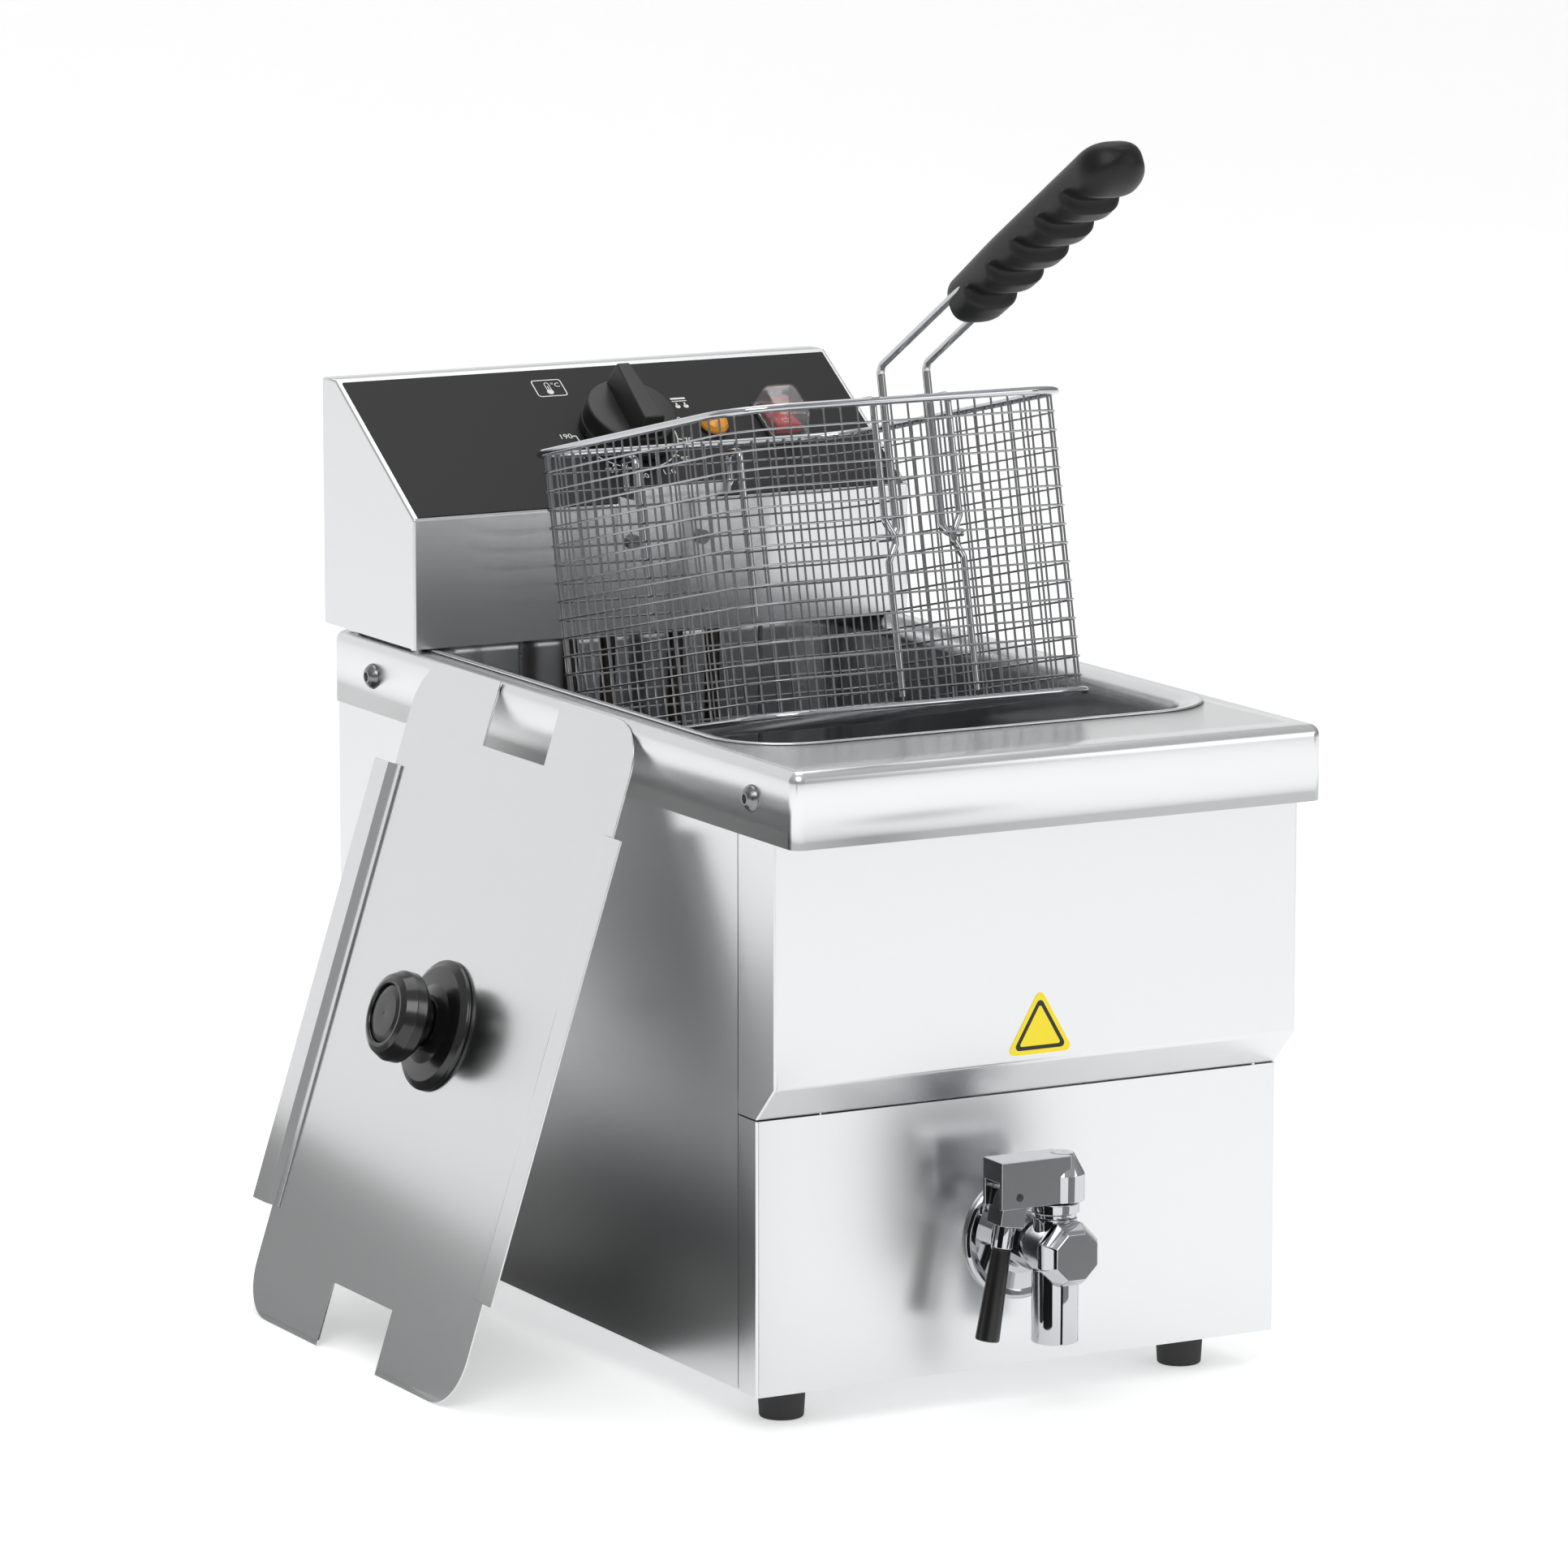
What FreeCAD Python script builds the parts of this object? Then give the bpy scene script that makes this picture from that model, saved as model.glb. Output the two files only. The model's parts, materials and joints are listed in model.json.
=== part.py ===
"""Table-top deep fryer with a drain tap, a lift-off control head, a wire basket and a lid.

Frame: millimetres, +Z up, the front faces -Y and the user's right is +X.
The origin lies on the table, at the middle of the drip tray's width and depth.
"""

import FreeCAD
import Part
import math
import os

from FreeCAD import Matrix, Placement, Rotation, Vector

# ---------------------------------------------------------------- driving sizes
SHEET = 1.0                  # thickness of the steel sheet
SEAM = 0.1                   # gap between sheets that lie against each other
SEAT = 0.3                   # gap under a piece that only rests on another
RUN = 0.05                   # radial running clearance of pins and spindles

# drip tray, the pressed top of the housing
TRAY_WIDTH = 290.0
TRAY_DEPTH = 500.0
TRAY_TOP = 327.0             # height of the tray's top above the table
TRAY_SKIRT = 37.0
TRAY_BEND = 6.0

# feet
FOOT_HEIGHT = 20.0
FOOT_TOP_RADIUS = 12.0
FOOT_BOTTOM_RADIUS = 10.8
FOOT_SCREW_RADIUS = 2.5
FOOT_INSET_X = 33.5          # from the tray's side to a foot's centre
FOOT_INSET_Y = 74.0          # from the tray's front to a front foot's centre

# housing panels
FRONT_RECESS = 21.0          # from the tray's front to the upper front face
CHIN_RECESS = 18.0           # from the upper front face back to the lower one
CHIN_TOP = 172.5             # height where the upper front face ends
CHIN_DROP = 18.5
FLANGE_DEPTH = 36.0          # how far the front panel wraps round the sides
SIDE_GROOVE = 1.8            # shadow gap between the front wrap and a side panel
PANEL_STEP = 0.6             # how far the side panels sit inside the front wrap
SCREW_RADIUS = 2.0
SCREW_HEAD_RADIUS = 6.6
SCREW_HEAD_HEIGHT = 4.4
SCREW_DROP = 18.2            # from the tray's top to its side screws
SCREW_FRONT_INSET = 41.5
SCREW_REAR_INSET = 48.5
LABEL_SIDE = 37.0            # the triangular sticker's side before its corners are rounded
LABEL_CORNER = 2.5
LABEL_THICKNESS = 0.15
LABEL_DROP = 140.0           # from the tray's top to the sticker's middle

# tank
TANK_WIDTH = 244.0
TANK_FRONT = -172.0
TANK_BACK = 205.0
TANK_FLOOR = 142.0           # height of the tank's floor above the table
TANK_CORNER = 28.0
TANK_LIP = 11.0              # radius of the rolled lip at the tank's mouth
DRAIN_RADIUS = 11.0
DRAIN_WALL = 1.5
DRAIN_Y = -140.0

# drain tap
TAP_HEIGHT = 83.7
TAP_REACH = 33.6             # from the lower front face to the tap's upright axis
TAP_BODY_RADIUS = 14.0
TAP_THREAD_RADIUS = 10.0
TAP_THREAD_LENGTH = 24.0
ESCUTCHEON_RADIUS = 31.0
ESCUTCHEON_DEPTH = 5.0
LOCK_NUT_RADIUS = 18.0        # across its corners, halved
LOCK_NUT_HEIGHT = 6.0
INLET_RADIUS = 6.0
CAP_RADIUS = 16.5
CAP_FACE_RADIUS = 12.0
CAP_FRONT = 21.0             # from the upright axis to the cap's flat face
CAP_BACK = 7.0
SPOUT_RADIUS = 11.3
SPOUT_BORE = 7.5
SPOUT_BOTTOM = 38.7
SPOUT_COLLAR_RADIUS = 12.3
SPOUT_COLLAR_BOTTOM = 66.0   # height where the spout's socket collar starts
PLUG_RADIUS = 6.0
PLUG_HOLE_RADIUS = 3.5
STEM_RADIUS = 4.0
BONNET_RADIUS = 11.5
LEVER_BOTTOM = 107.7
LEVER_HEIGHT = 23.0
LEVER_WIDTH = 18.2
LEVER_REACH = 34.8           # from the upright axis to the lever's far end
LEVER_NOSE_RADIUS = 11.0
LEVER_NOSE_OFFSET = 3.5
FORK_WIDTH = 13.7
FORK_HEIGHT = 12.8
FORK_DEPTH = 25.0
PIN_RADIUS = 2.0
PIN_REACH = 25.0
PIN_RISE = 5.5               # height of the fork pin above the lever's underside
HINGE_BLOCK = 13.3
HINGE_DROP = 15.0
COLLAR_RADIUS = 5.1
COLLAR_LENGTH = 11.0
GRIP_ROD_RADIUS = 2.5
GRIP_TOP_RADIUS = 4.6
GRIP_END_RADIUS = 5.9
GRIP_LENGTH = 45.0
GRIP_LEAN = 10.0             # degrees that the hanging grip leans away from the body

# control head
HEAD_WIDTH = 287.2
HEAD_FRONT = 155.2
HEAD_BACK = 261.5
HEAD_GAP = 1.6               # shadow gap between the tray and the head
HEAD_BROW_RISE = 68.3        # from the tray's top to where the head's front turns into the slope
HEAD_RISE = 129.7            # from the tray's top to the head's top
HEAD_VENT_RISE = 62.0        # from the tray's top to the foot of the head's vent slots
HEAD_VENT_LENGTH = 30.0
HEAD_VENT_WIDTH = 4.0
HEAD_VENT_PITCH = 10.0
SLOPE_BACK = 246.5
OVERLAY_EDGE = 3.0
OVERLAY_THICKNESS = 0.5
CONTROL_ROW = 54.0           # distance of the controls up the slope
KNOB_X = 0.0
LAMP_X = 52.0
SWITCH_X = 91.0
KNOB_RADIUS = 25.0
KNOB_TOP_RADIUS = 23.8
KNOB_DISC = 15.0
KNOB_BAR_TOP = 28.0
KNOB_GAP = 1.0
BAR_LENGTH = 45.0
BAR_POINTER_WIDTH = 7.2
BAR_TAIL_WIDTH = 11.6
SPINDLE_RADIUS = 3.0
LAMP_RADIUS = 7.5
LAMP_DOME = 7.0
LAMP_BODY_RADIUS = 6.0
SWITCH_WIDTH = 23.0
SWITCH_LENGTH = 30.0
SWITCH_BEZEL = 2.0
ROCKER_WIDTH = 14.0
ROCKER_LENGTH = 20.5
ROCKER_AXIS = 0.5            # height of the rocker's axis above the head's slope
ROCKER_TILT = 8.0            # degrees each way from level
BOOT_WALL = 0.8
BOOT_HEIGHT = 14.0
BOOT_TOP_WIDTH = 18.6
BOOT_TOP_LENGTH = 24.0
GLAND_X = 90.0
GLAND_RISE = 29.0            # from the tray's top to the gland's middle
GLAND_BORE = 4.1
GLAND_RADIUS = 9.0
RESET_X = -80.0
RESET_RISE = 29.0
RESET_RADIUS = 3.5
RESET_TRAVEL = 3.0

# heating element and probes
ELEMENT_RADIUS = 4.0
ELEMENT_BEND = 16.0
ELEMENT_CLEARANCE = 16.0     # from the tank's floor to the tube's centre
ELEMENT_HALF_WIDTHS = (92.0, 44.0)
ELEMENT_FRONT = -135.0
ELEMENT_RISER_Y = 182.0
RISER_SHARE = 0.45           # risers stand nearer the middle than the loops are wide
PROBE_RADIUS = 3.0
PROBE_LENGTH = 70.0
PROBE_X = 70.0

# basket, sized level and then tilted into its draining position
BASKET_HALF_WIDTH = 93.0     # to the centre of the upright wires
BASKET_DEPTH = 228.6
BASKET_HEIGHT = 149.5        # to the centre of the rim wire
BASKET_CORNER = 26.4
WIRE_RADIUS = 0.55
WIRE_PITCH = 9.3
RIM_RADIUS = 2.0
BASE_RADIUS = 1.75
WELD = 0.05                  # gap left at each wire crossing
FLOOR_GAP = 0.5              # from the floor wires' ends to the upright wires
BASKET_TILT = 12.2           # degrees, front end up
BASKET_FRONT = -129.6        # where the basket's lower front edge hangs
BASKET_RISE = 3.0            # from the tray's top to that edge
HANDLE_X = 4.4               # the handle stands a little right of the basket's middle
HANDLE_SPACING = 25.4
HANDLE_RADIUS = 2.0
HANDLE_RISE = 17.0
HANDLE_ANGLE = 18.0          # degrees above level, before the basket is tilted
HANDLE_WIRE = 75.0
HANDLE_TAIL = 66.0           # how far the handle's wires reach down inside the mesh
HANDLE_HOOK = 11.0
HANDLE_SOCKET = 20.0         # how far the handle's wires go into the grip
SUPPORT_SPACING = 41.6
SUPPORT_RADIUS = 1.75
SUPPORT_BACK = 20.0          # how far the loop at the supports' top runs back
SUPPORT_RISE = 1.5           # height of that loop above the rim's middle
SUPPORT_KINK = 4.5
GRIP_WIDTH = 33.0
GRIP_DEPTH = 24.0
GRIP_SPAN = 166.0
GRIP_ROUNDING = 9.0
GRIP_NOTCHES = 5
HOOK_HALF_WIDTH = 30.0
HOOK_RADIUS = 2.0
HOOK_LENGTH = 13.0
HOOK_DROP = 16.0
HANGER_THICKNESS = 2.0
HANGER_HALF_WIDTH = 28.0
HANGER_X = 20.0
HANGER_LIP = 5.0
HANGER_FOOT_EDGE = 12.0      # from the hanger's screws to its lower edge
HANGER_SCREW_DROP = 26.0     # from the hanger's seat down to its screws

# lid, sized flat and then leant against the housing
LID_WIDTH = 240.0
LID_LENGTH = 343.0
LID_CORNER = 26.0
LID_NOTCH_WIDTH = 67.0
LID_NOTCH_DEPTH = 33.0
LID_STRIP_LENGTH = 232.0
LID_STRIP_REACH = 15.7
LID_STRIP_LAP = 9.0
LID_STRIP_RISE = 2.8
LID_LEAN = 17.8              # degrees from upright
LID_CENTRE_Y = 21.5
LID_KNOB_BASE_RADIUS = 33.0
LID_KNOB_RADIUS = 22.8
LID_KNOB_HEIGHT = 31.0
LID_KNOB_NECK = 12.0

# ---------------------------------------------------------------- worked-out places
TRAY_HALF = TRAY_WIDTH / 2
TRAY_FRONT = -TRAY_DEPTH / 2
TRAY_REAR = TRAY_DEPTH / 2
SKIRT_BOTTOM = TRAY_TOP - TRAY_SKIRT
PANEL_HALF = TRAY_HALF - SHEET - SEAM
PANEL_TOP = TRAY_TOP - SHEET - TRAY_BEND
FRONT_FACE = TRAY_FRONT + FRONT_RECESS
CHIN_FACE = FRONT_FACE + CHIN_RECESS
FLANGE_END = FRONT_FACE + FLANGE_DEPTH
REAR_FACE = TRAY_REAR - SHEET - SEAM
TAP_Y = CHIN_FACE - TAP_REACH
PIN_X = -PIN_REACH
PIN_Z = LEVER_BOTTOM + PIN_RISE
HEAD_HALF = HEAD_WIDTH / 2
HEAD_BOTTOM = TRAY_TOP + HEAD_GAP
HEAD_BROW = TRAY_TOP + HEAD_BROW_RISE
HEAD_TOP = TRAY_TOP + HEAD_RISE
GLAND_HEIGHT = TRAY_TOP + GLAND_RISE
RESET_HEIGHT = TRAY_TOP + RESET_RISE
SLOPE_RUN = SLOPE_BACK - HEAD_FRONT
SLOPE_RISE = HEAD_TOP - HEAD_BROW
SLOPE_LENGTH = math.hypot(SLOPE_RUN, SLOPE_RISE)
SLOPE_ANGLE = math.degrees(math.atan2(SLOPE_RISE, SLOPE_RUN))
BASKET_RIM_OFFSET = WIRE_RADIUS + RIM_RADIUS + WELD
BASKET_BASE_OFFSET = WIRE_RADIUS + BASE_RADIUS + WELD
MESH_FRONT = BASKET_RIM_OFFSET - 0.3
BASKET_HANG = TRAY_TOP + BASKET_RISE


# ---------------------------------------------------------------- shape helpers
def block(x0, x1, y0, y1, z0, z1):
    """A box from its lowest to its highest corner."""
    return Part.makeBox(x1 - x0, y1 - y0, z1 - z0, Vector(x0, y0, z0))


def rod(radius, start, end):
    """A straight round bar between two points."""
    start = Vector(*start)
    along = Vector(*end) - start
    return Part.makeCylinder(radius, along.Length, start, along)


def cone(r0, r1, start, end):
    """A round bar that tapers from r0 to r1."""
    start = Vector(*start)
    along = Vector(*end) - start
    return Part.makeCone(r0, r1, along.Length, start, along)


def tube(outer, inner, start, end):
    """A straight pipe."""
    return rod(outer, start, end).cut(rod(inner, start, end))


def fuse(shapes):
    """One solid from several that touch."""
    whole = shapes[0]
    for shape in shapes[1:]:
        whole = whole.fuse(shape)
    return whole.removeSplitter()


def cut_all(shape, tools):
    """A shape with every tool taken away."""
    for tool in tools:
        shape = shape.cut(tool)
    return shape


def rounded_outline(x0, x1, y0, y1, radius, z):
    """A closed level outline with round corners."""
    r = radius
    corners = (
        (x1 - r, y0 + r, -90), (x1 - r, y1 - r, 0),
        (x0 + r, y1 - r, 90), (x0 + r, y0 + r, 180),
    )
    arcs = []
    for cx, cy, first in corners:
        points = []
        for turn in (0, 45, 90):
            angle = math.radians(first + turn)
            points.append(Vector(cx + r * math.cos(angle), cy + r * math.sin(angle), z))
        arcs.append(points)
    edges = []
    for index, (start, middle, end) in enumerate(arcs):
        edges.append(Part.Arc(start, middle, end).toShape())
        edges.append(Part.LineSegment(end, arcs[(index + 1) % 4][0]).toShape())
    return Part.Wire(edges)


def rounded_block(x0, x1, y0, y1, z0, z1, radius):
    """A block whose four upright corners are round."""
    face = Part.Face(rounded_outline(x0, x1, y0, y1, radius, z0))
    return face.extrude(Vector(0, 0, z1 - z0))


def side_profile(points, half_width):
    """A prism across the width from an outline of (y, z) points."""
    corners = [Vector(-half_width, y, z) for y, z in points]
    face = Part.Face(Part.makePolygon(corners + corners[:1]))
    return face.extrude(Vector(2 * half_width, 0, 0))


def turned(points, centre, axis=(0, 0, 1)):
    """A solid of revolution from (radius, height) points about an axis through centre."""
    corners = [Vector(r, 0, h) for r, h in points]
    face = Part.Face(Part.makePolygon(corners + corners[:1]))
    solid = face.revolve(Vector(0, 0, 0), Vector(0, 0, 1), 360)
    solid.Placement = Placement(Vector(*centre), Rotation(Vector(0, 0, 1), Vector(*axis)))
    return Part.Solid(solid) if solid.ShapeType == "Shell" else solid


def bent_path(points, bend):
    """Straight runs joined by tangent arcs of one bend radius."""
    points = [Vector(*p) for p in points]
    edges = []
    start = points[0]
    for before, corner, after in zip(points, points[1:], points[2:]):
        back = (before - corner).normalize()
        ahead = (after - corner).normalize()
        half = back.getAngle(ahead) / 2
        reach = bend / math.tan(half)
        first = corner + back * reach
        last = corner + ahead * reach
        centre = corner + (back + ahead).normalize() * (bend / math.sin(half))
        middle = centre + (corner - centre).normalize() * bend
        edges.append(Part.LineSegment(start, first).toShape())
        edges.append(Part.Arc(first, middle, last).toShape())
        start = last
    edges.append(Part.LineSegment(start, points[-1]).toShape())
    return Part.Wire(edges)


def bent_rod(points, radius, bend):
    """A round bar bent along a path."""
    path = bent_path(points, bend)
    along = (Vector(*points[1]) - Vector(*points[0])).normalize()
    ring = Part.Wire(Part.makeCircle(radius, Vector(*points[0]), along))
    return path.makePipeShell([ring], True, False)


def mirrored(shape):
    """The same shape on the other side of the middle plane."""
    return shape.mirror(Vector(0, 0, 0), Vector(1, 0, 0))


def group(shapes):
    """Separate solids of one kind in one node."""
    solids = []
    for shape in shapes:
        solids.extend(shape.Solids)
    return Part.makeCompound(solids)


def placed(shape, placement):
    """A copy of a shape in a new place, with the place baked into its geometry."""
    moved = shape.copy()
    moved.Placement = placement.multiply(moved.Placement)
    return moved


def on_slope(shape):
    """From the control slope's own axes to the part's: X across, Y up the slope, Z outward."""
    tilt = Rotation(Vector(1, 0, 0), SLOPE_ANGLE)
    return placed(shape, Placement(Vector(0, HEAD_FRONT, HEAD_BROW), tilt))


def hung(shape):
    """From the level basket's axes to the place where it hangs and drains."""
    tilt = Rotation(Vector(1, 0, 0), -BASKET_TILT)
    return placed(shape, Placement(Vector(0, BASKET_FRONT, BASKET_HANG), tilt))


def hung_point(x, y, z):
    """Where a point of the level basket lies once it hangs."""
    tilt = Rotation(Vector(1, 0, 0), -BASKET_TILT)
    return tilt.multVec(Vector(x, y, z)) + Vector(0, BASKET_FRONT, BASKET_HANG)


def leant(shape):
    """From the flat lid's axes (Y along it, Z out of its face) to where it leans."""
    lean = math.radians(LID_LEAN)
    across = Vector(0, -1, 0)
    up = Vector(math.sin(lean), 0, math.cos(lean))
    out = Vector(-math.cos(lean), 0, math.sin(lean))
    corner_x = -TRAY_HALF + TRAY_BEND
    corner_z = TRAY_TOP - TRAY_BEND
    stand_off = TRAY_BEND + SEAT + SHEET
    foot_z = SHEET * math.sin(lean)
    touch_x = corner_x - stand_off * math.cos(lean)
    touch_z = corner_z + stand_off * math.sin(lean)
    foot_x = touch_x - (touch_z - foot_z) * math.tan(lean)
    matrix = Matrix(
        across.x, up.x, out.x, foot_x,
        across.y, up.y, out.y, LID_CENTRE_Y,
        across.z, up.z, out.z, foot_z,
        0, 0, 0, 1,
    )
    return placed(shape, Placement(matrix))


# ---------------------------------------------------------------- housing
def foot_places():
    """The four feet's centres."""
    x = TRAY_HALF - FOOT_INSET_X
    front = TRAY_FRONT + FOOT_INSET_Y
    return [(side * x, end) for end in (front, -front) for side in (-1, 1)]


def rubber_feet():
    """Tapered feet, each with a counterbore for its screw."""
    edge = 2.0
    head = FOOT_SCREW_RADIUS * 2
    outline = [
        (FOOT_SCREW_RADIUS + RUN, FOOT_HEIGHT), (FOOT_TOP_RADIUS, FOOT_HEIGHT),
        (FOOT_BOTTOM_RADIUS, edge), (FOOT_BOTTOM_RADIUS - edge, 0), (head + SEAM, 0),
        (head + SEAM, 4), (FOOT_SCREW_RADIUS + RUN, 4),
    ]
    return group([turned(outline, (x, y, 0)) for x, y in foot_places()])


def foot_screws():
    """A screw up through each foot into the base plate."""
    head = FOOT_SCREW_RADIUS * 2
    top = FOOT_HEIGHT + 9
    outline = [
        (0, 1.2), (head, 1.2), (head, 4 - SEAM / 2), (FOOT_SCREW_RADIUS, 4 - SEAM / 2),
        (FOOT_SCREW_RADIUS, top), (0, top),
    ]
    return group([turned(outline, (x, y, 0)) for x, y in foot_places()])


def base_plate():
    """The floor of the housing, with upturned sides and vent slots."""
    half = PANEL_HALF - PANEL_STEP - SHEET - SEAM
    front = CHIN_FACE + SHEET + SEAM
    back = REAR_FACE - SHEET - SEAM
    outer = block(-half, half, front, back, FOOT_HEIGHT, FOOT_HEIGHT + 14)
    inner = block(-half + SHEET, half - SHEET, front + SHEET, back - SHEET,
                  FOOT_HEIGHT + SHEET, FOOT_HEIGHT + 15)
    tools = [inner]
    for x, y in foot_places():
        tools.append(rod(FOOT_SCREW_RADIUS + RUN, (x, y, 0), (x, y, 40)))
    for step in range(-4, 5):
        y = step * 16.0
        tools.append(block(-45, 45, y - 2.5, y + 2.5, 0, 40))
    return cut_all(outer, tools)


def front_panel():
    """One bent sheet: upper face, slanted chin, lower face and a wrap round each side."""
    def solid(inset, half):
        """The space behind the front sheet, set in by a thickness."""
        drop = inset * 0.4
        return side_profile([
            (FRONT_FACE + inset, PANEL_TOP + inset),
            (FRONT_FACE + inset, CHIN_TOP + drop),
            (CHIN_FACE + inset, CHIN_TOP - CHIN_DROP + drop),
            (CHIN_FACE + inset, FOOT_HEIGHT - inset),
            (FLANGE_END + inset, FOOT_HEIGHT - inset),
            (FLANGE_END + inset, PANEL_TOP + inset),
        ], half)
    sheet = solid(0, PANEL_HALF).cut(solid(SHEET, PANEL_HALF - SHEET))
    tap_hole = rod(TAP_THREAD_RADIUS + 0.5, (0, CHIN_FACE - 5, TAP_HEIGHT),
                   (0, CHIN_FACE + 5, TAP_HEIGHT))
    return cut_all(sheet, [tap_hole] + side_screw_holes())


def tray_screw_places():
    """Where the side screws go through the tray's skirt: (y, z)."""
    height = TRAY_TOP - SCREW_DROP
    return [(TRAY_FRONT + SCREW_FRONT_INSET, height), (TRAY_REAR - SCREW_REAR_INSET, height)]


def side_screw_holes():
    """Clearance holes for the tray's side screws."""
    reach = TRAY_HALF + 5
    return [rod(SCREW_RADIUS + RUN, (-reach, y, z), (reach, y, z)) for y, z in tray_screw_places()]


def inside_tray(shape):
    """Round a panel's upright edges to fit inside the tray's skirt."""
    inset = SHEET + SEAM
    room = rounded_block(-TRAY_HALF + inset, TRAY_HALF - inset, TRAY_FRONT + inset,
                         TRAY_REAR - inset, 0, TRAY_TOP, TRAY_BEND - SHEET)
    return shape.common(room)


def left_side_panel():
    """The flat panel on the left, with pads where the tray's screws pull it tight."""
    outer = -PANEL_HALF + PANEL_STEP
    sheet = block(outer, outer + SHEET, FLANGE_END + SIDE_GROOVE, REAR_FACE - SHEET - SEAM,
                  FOOT_HEIGHT, PANEL_TOP)
    pads = []
    for y, z in tray_screw_places():
        if y > FLANGE_END:
            pads.append(rod(8, (outer - PANEL_STEP, y, z), (outer, y, z)))
    return cut_all(inside_tray(fuse([sheet] + pads)), side_screw_holes())


def right_side_panel():
    """The mirror of the left side panel."""
    return mirrored(left_side_panel())


def rear_panel():
    """The back sheet, with two rows of louvre slots low down."""
    half = PANEL_HALF - PANEL_STEP
    sheet = block(-half, half, REAR_FACE - SHEET, REAR_FACE, FOOT_HEIGHT, PANEL_TOP)
    slots = []
    for row in range(2):
        for column in range(-5, 6):
            x = column * 18.0
            z = 60.0 + row * 40.0
            slots.append(rounded_slot(x, z))
    return cut_all(inside_tray(sheet), slots)


def rounded_slot(x, z):
    """An upright vent slot with round ends, through the back sheet."""
    y0 = REAR_FACE - 5
    y1 = REAR_FACE + 5
    return fuse([
        block(x - 2.5, x + 2.5, y0, y1, z - 11, z + 11),
        rod(2.5, (x, y0, z - 11), (x, y1, z - 11)),
        rod(2.5, (x, y0, z + 11), (x, y1, z + 11)),
    ])


def lip_ring(inset):
    """Solid ground round the tank's mouth with a rolled edge, set in by a sheet thickness."""
    half = TANK_WIDTH / 2
    top = TRAY_TOP - inset
    low = TRAY_TOP - TANK_LIP - 2
    reach = TANK_LIP + 1.5
    outer = rounded_block(-half - reach, half + reach, TANK_FRONT - reach, TANK_BACK + reach,
                          low, top, TANK_CORNER + reach)
    hole = rounded_block(-half - inset, half + inset, TANK_FRONT - inset, TANK_BACK + inset,
                         low - 1, top + 1, TANK_CORNER + inset)
    ring = outer.cut(hole)
    mouth = []
    for edge in ring.Edges:
        box = edge.BoundBox
        level = abs(box.ZMin - top) < 0.01 and abs(box.ZMax - top) < 0.01
        inside = box.XMax < half + inset + 0.1 and box.XMin > -half - inset - 0.1
        within = box.YMax < TANK_BACK + inset + 0.1 and box.YMin > TANK_FRONT - inset - 0.1
        if level and inside and within:
            mouth.append(edge)
    return ring.makeFillet(TANK_LIP - inset, mouth)


def oil_tank():
    """The deep-drawn tank with its rolled lip and the drain hole in its floor."""
    half = TANK_WIDTH / 2
    top = TRAY_TOP - TANK_LIP
    outer = rounded_block(-half - SHEET, half + SHEET, TANK_FRONT - SHEET, TANK_BACK + SHEET,
                          TANK_FLOOR - SHEET, top, TANK_CORNER + SHEET)
    inner = rounded_block(-half, half, TANK_FRONT, TANK_BACK, TANK_FLOOR, top + 1, TANK_CORNER)
    lip = lip_ring(0).cut(lip_ring(SHEET))
    tank = fuse([outer.cut(inner), lip])
    drain = rod(DRAIN_RADIUS - DRAIN_WALL, (0, DRAIN_Y, TANK_FLOOR - 5), (0, DRAIN_Y, TANK_FLOOR + 5))
    return tank.cut(drain)


def top_tray():
    """The drip tray: a flat top with a deep skirt, round bends and the tank's mouth."""
    def shell(inset):
        """The tray's outside, set in by a thickness."""
        solid = rounded_block(-TRAY_HALF + inset, TRAY_HALF - inset,
                              TRAY_FRONT + inset, TRAY_REAR - inset,
                              SKIRT_BOTTOM - inset, TRAY_TOP - inset, TRAY_BEND - inset)
        top = [e for e in solid.Edges if e.BoundBox.ZMin > TRAY_TOP - inset - 0.01]
        return solid.makeFillet(TRAY_BEND - inset - 0.5, top)
    reach = TANK_LIP + 1.5 + SEAM
    half = TANK_WIDTH / 2 + reach
    mouth = rounded_block(-half, half, TANK_FRONT - reach, TANK_BACK + reach,
                          SKIRT_BOTTOM - 5, TRAY_TOP + 5, TANK_CORNER + reach)
    tray = shell(0).cut(shell(SHEET)).cut(mouth)
    return cut_all(tray, side_screw_holes())


def tray_screws():
    """Dome-head screws through the skirt, two on each side."""
    shapes = []
    rise = SCREW_HEAD_HEIGHT
    radius = (SCREW_HEAD_RADIUS ** 2 + rise ** 2) / (2 * rise)
    for y, z in tray_screw_places():
        x = TRAY_HALF + SEAM / 2
        ball = Part.makeSphere(radius, Vector(x + rise - radius, y, z))
        dome = ball.common(block(x, x + rise + 1, y - 20, y + 20, z - 20, z + 20))
        socket = rod(1.6, (x + rise - 1.6, y, z), (x + rise + 2, y, z))
        shank = rod(SCREW_RADIUS, (x - 9, y, z), (x + 0.1, y, z))
        screw = fuse([dome, shank]).cut(socket)
        shapes += [screw, mirrored(screw)]
    return group(shapes)


def drain_elbow():
    """Pipe from the tank's floor down and forward to the tap's thread."""
    start = (0, DRAIN_Y, TANK_FLOOR - SHEET - SEAM)
    end_y = CHIN_FACE + TAP_THREAD_LENGTH + SEAM
    points = [start, (0, DRAIN_Y, TAP_HEIGHT), (0, end_y, TAP_HEIGHT)]
    bend = 20.0
    outer = bent_rod(points, DRAIN_RADIUS, bend)
    inner_points = [(0, DRAIN_Y, TANK_FLOOR + 5), points[1], (0, end_y - 5, TAP_HEIGHT)]
    inner = bent_rod(inner_points, DRAIN_RADIUS - DRAIN_WALL, bend)
    return outer.cut(inner)


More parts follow.
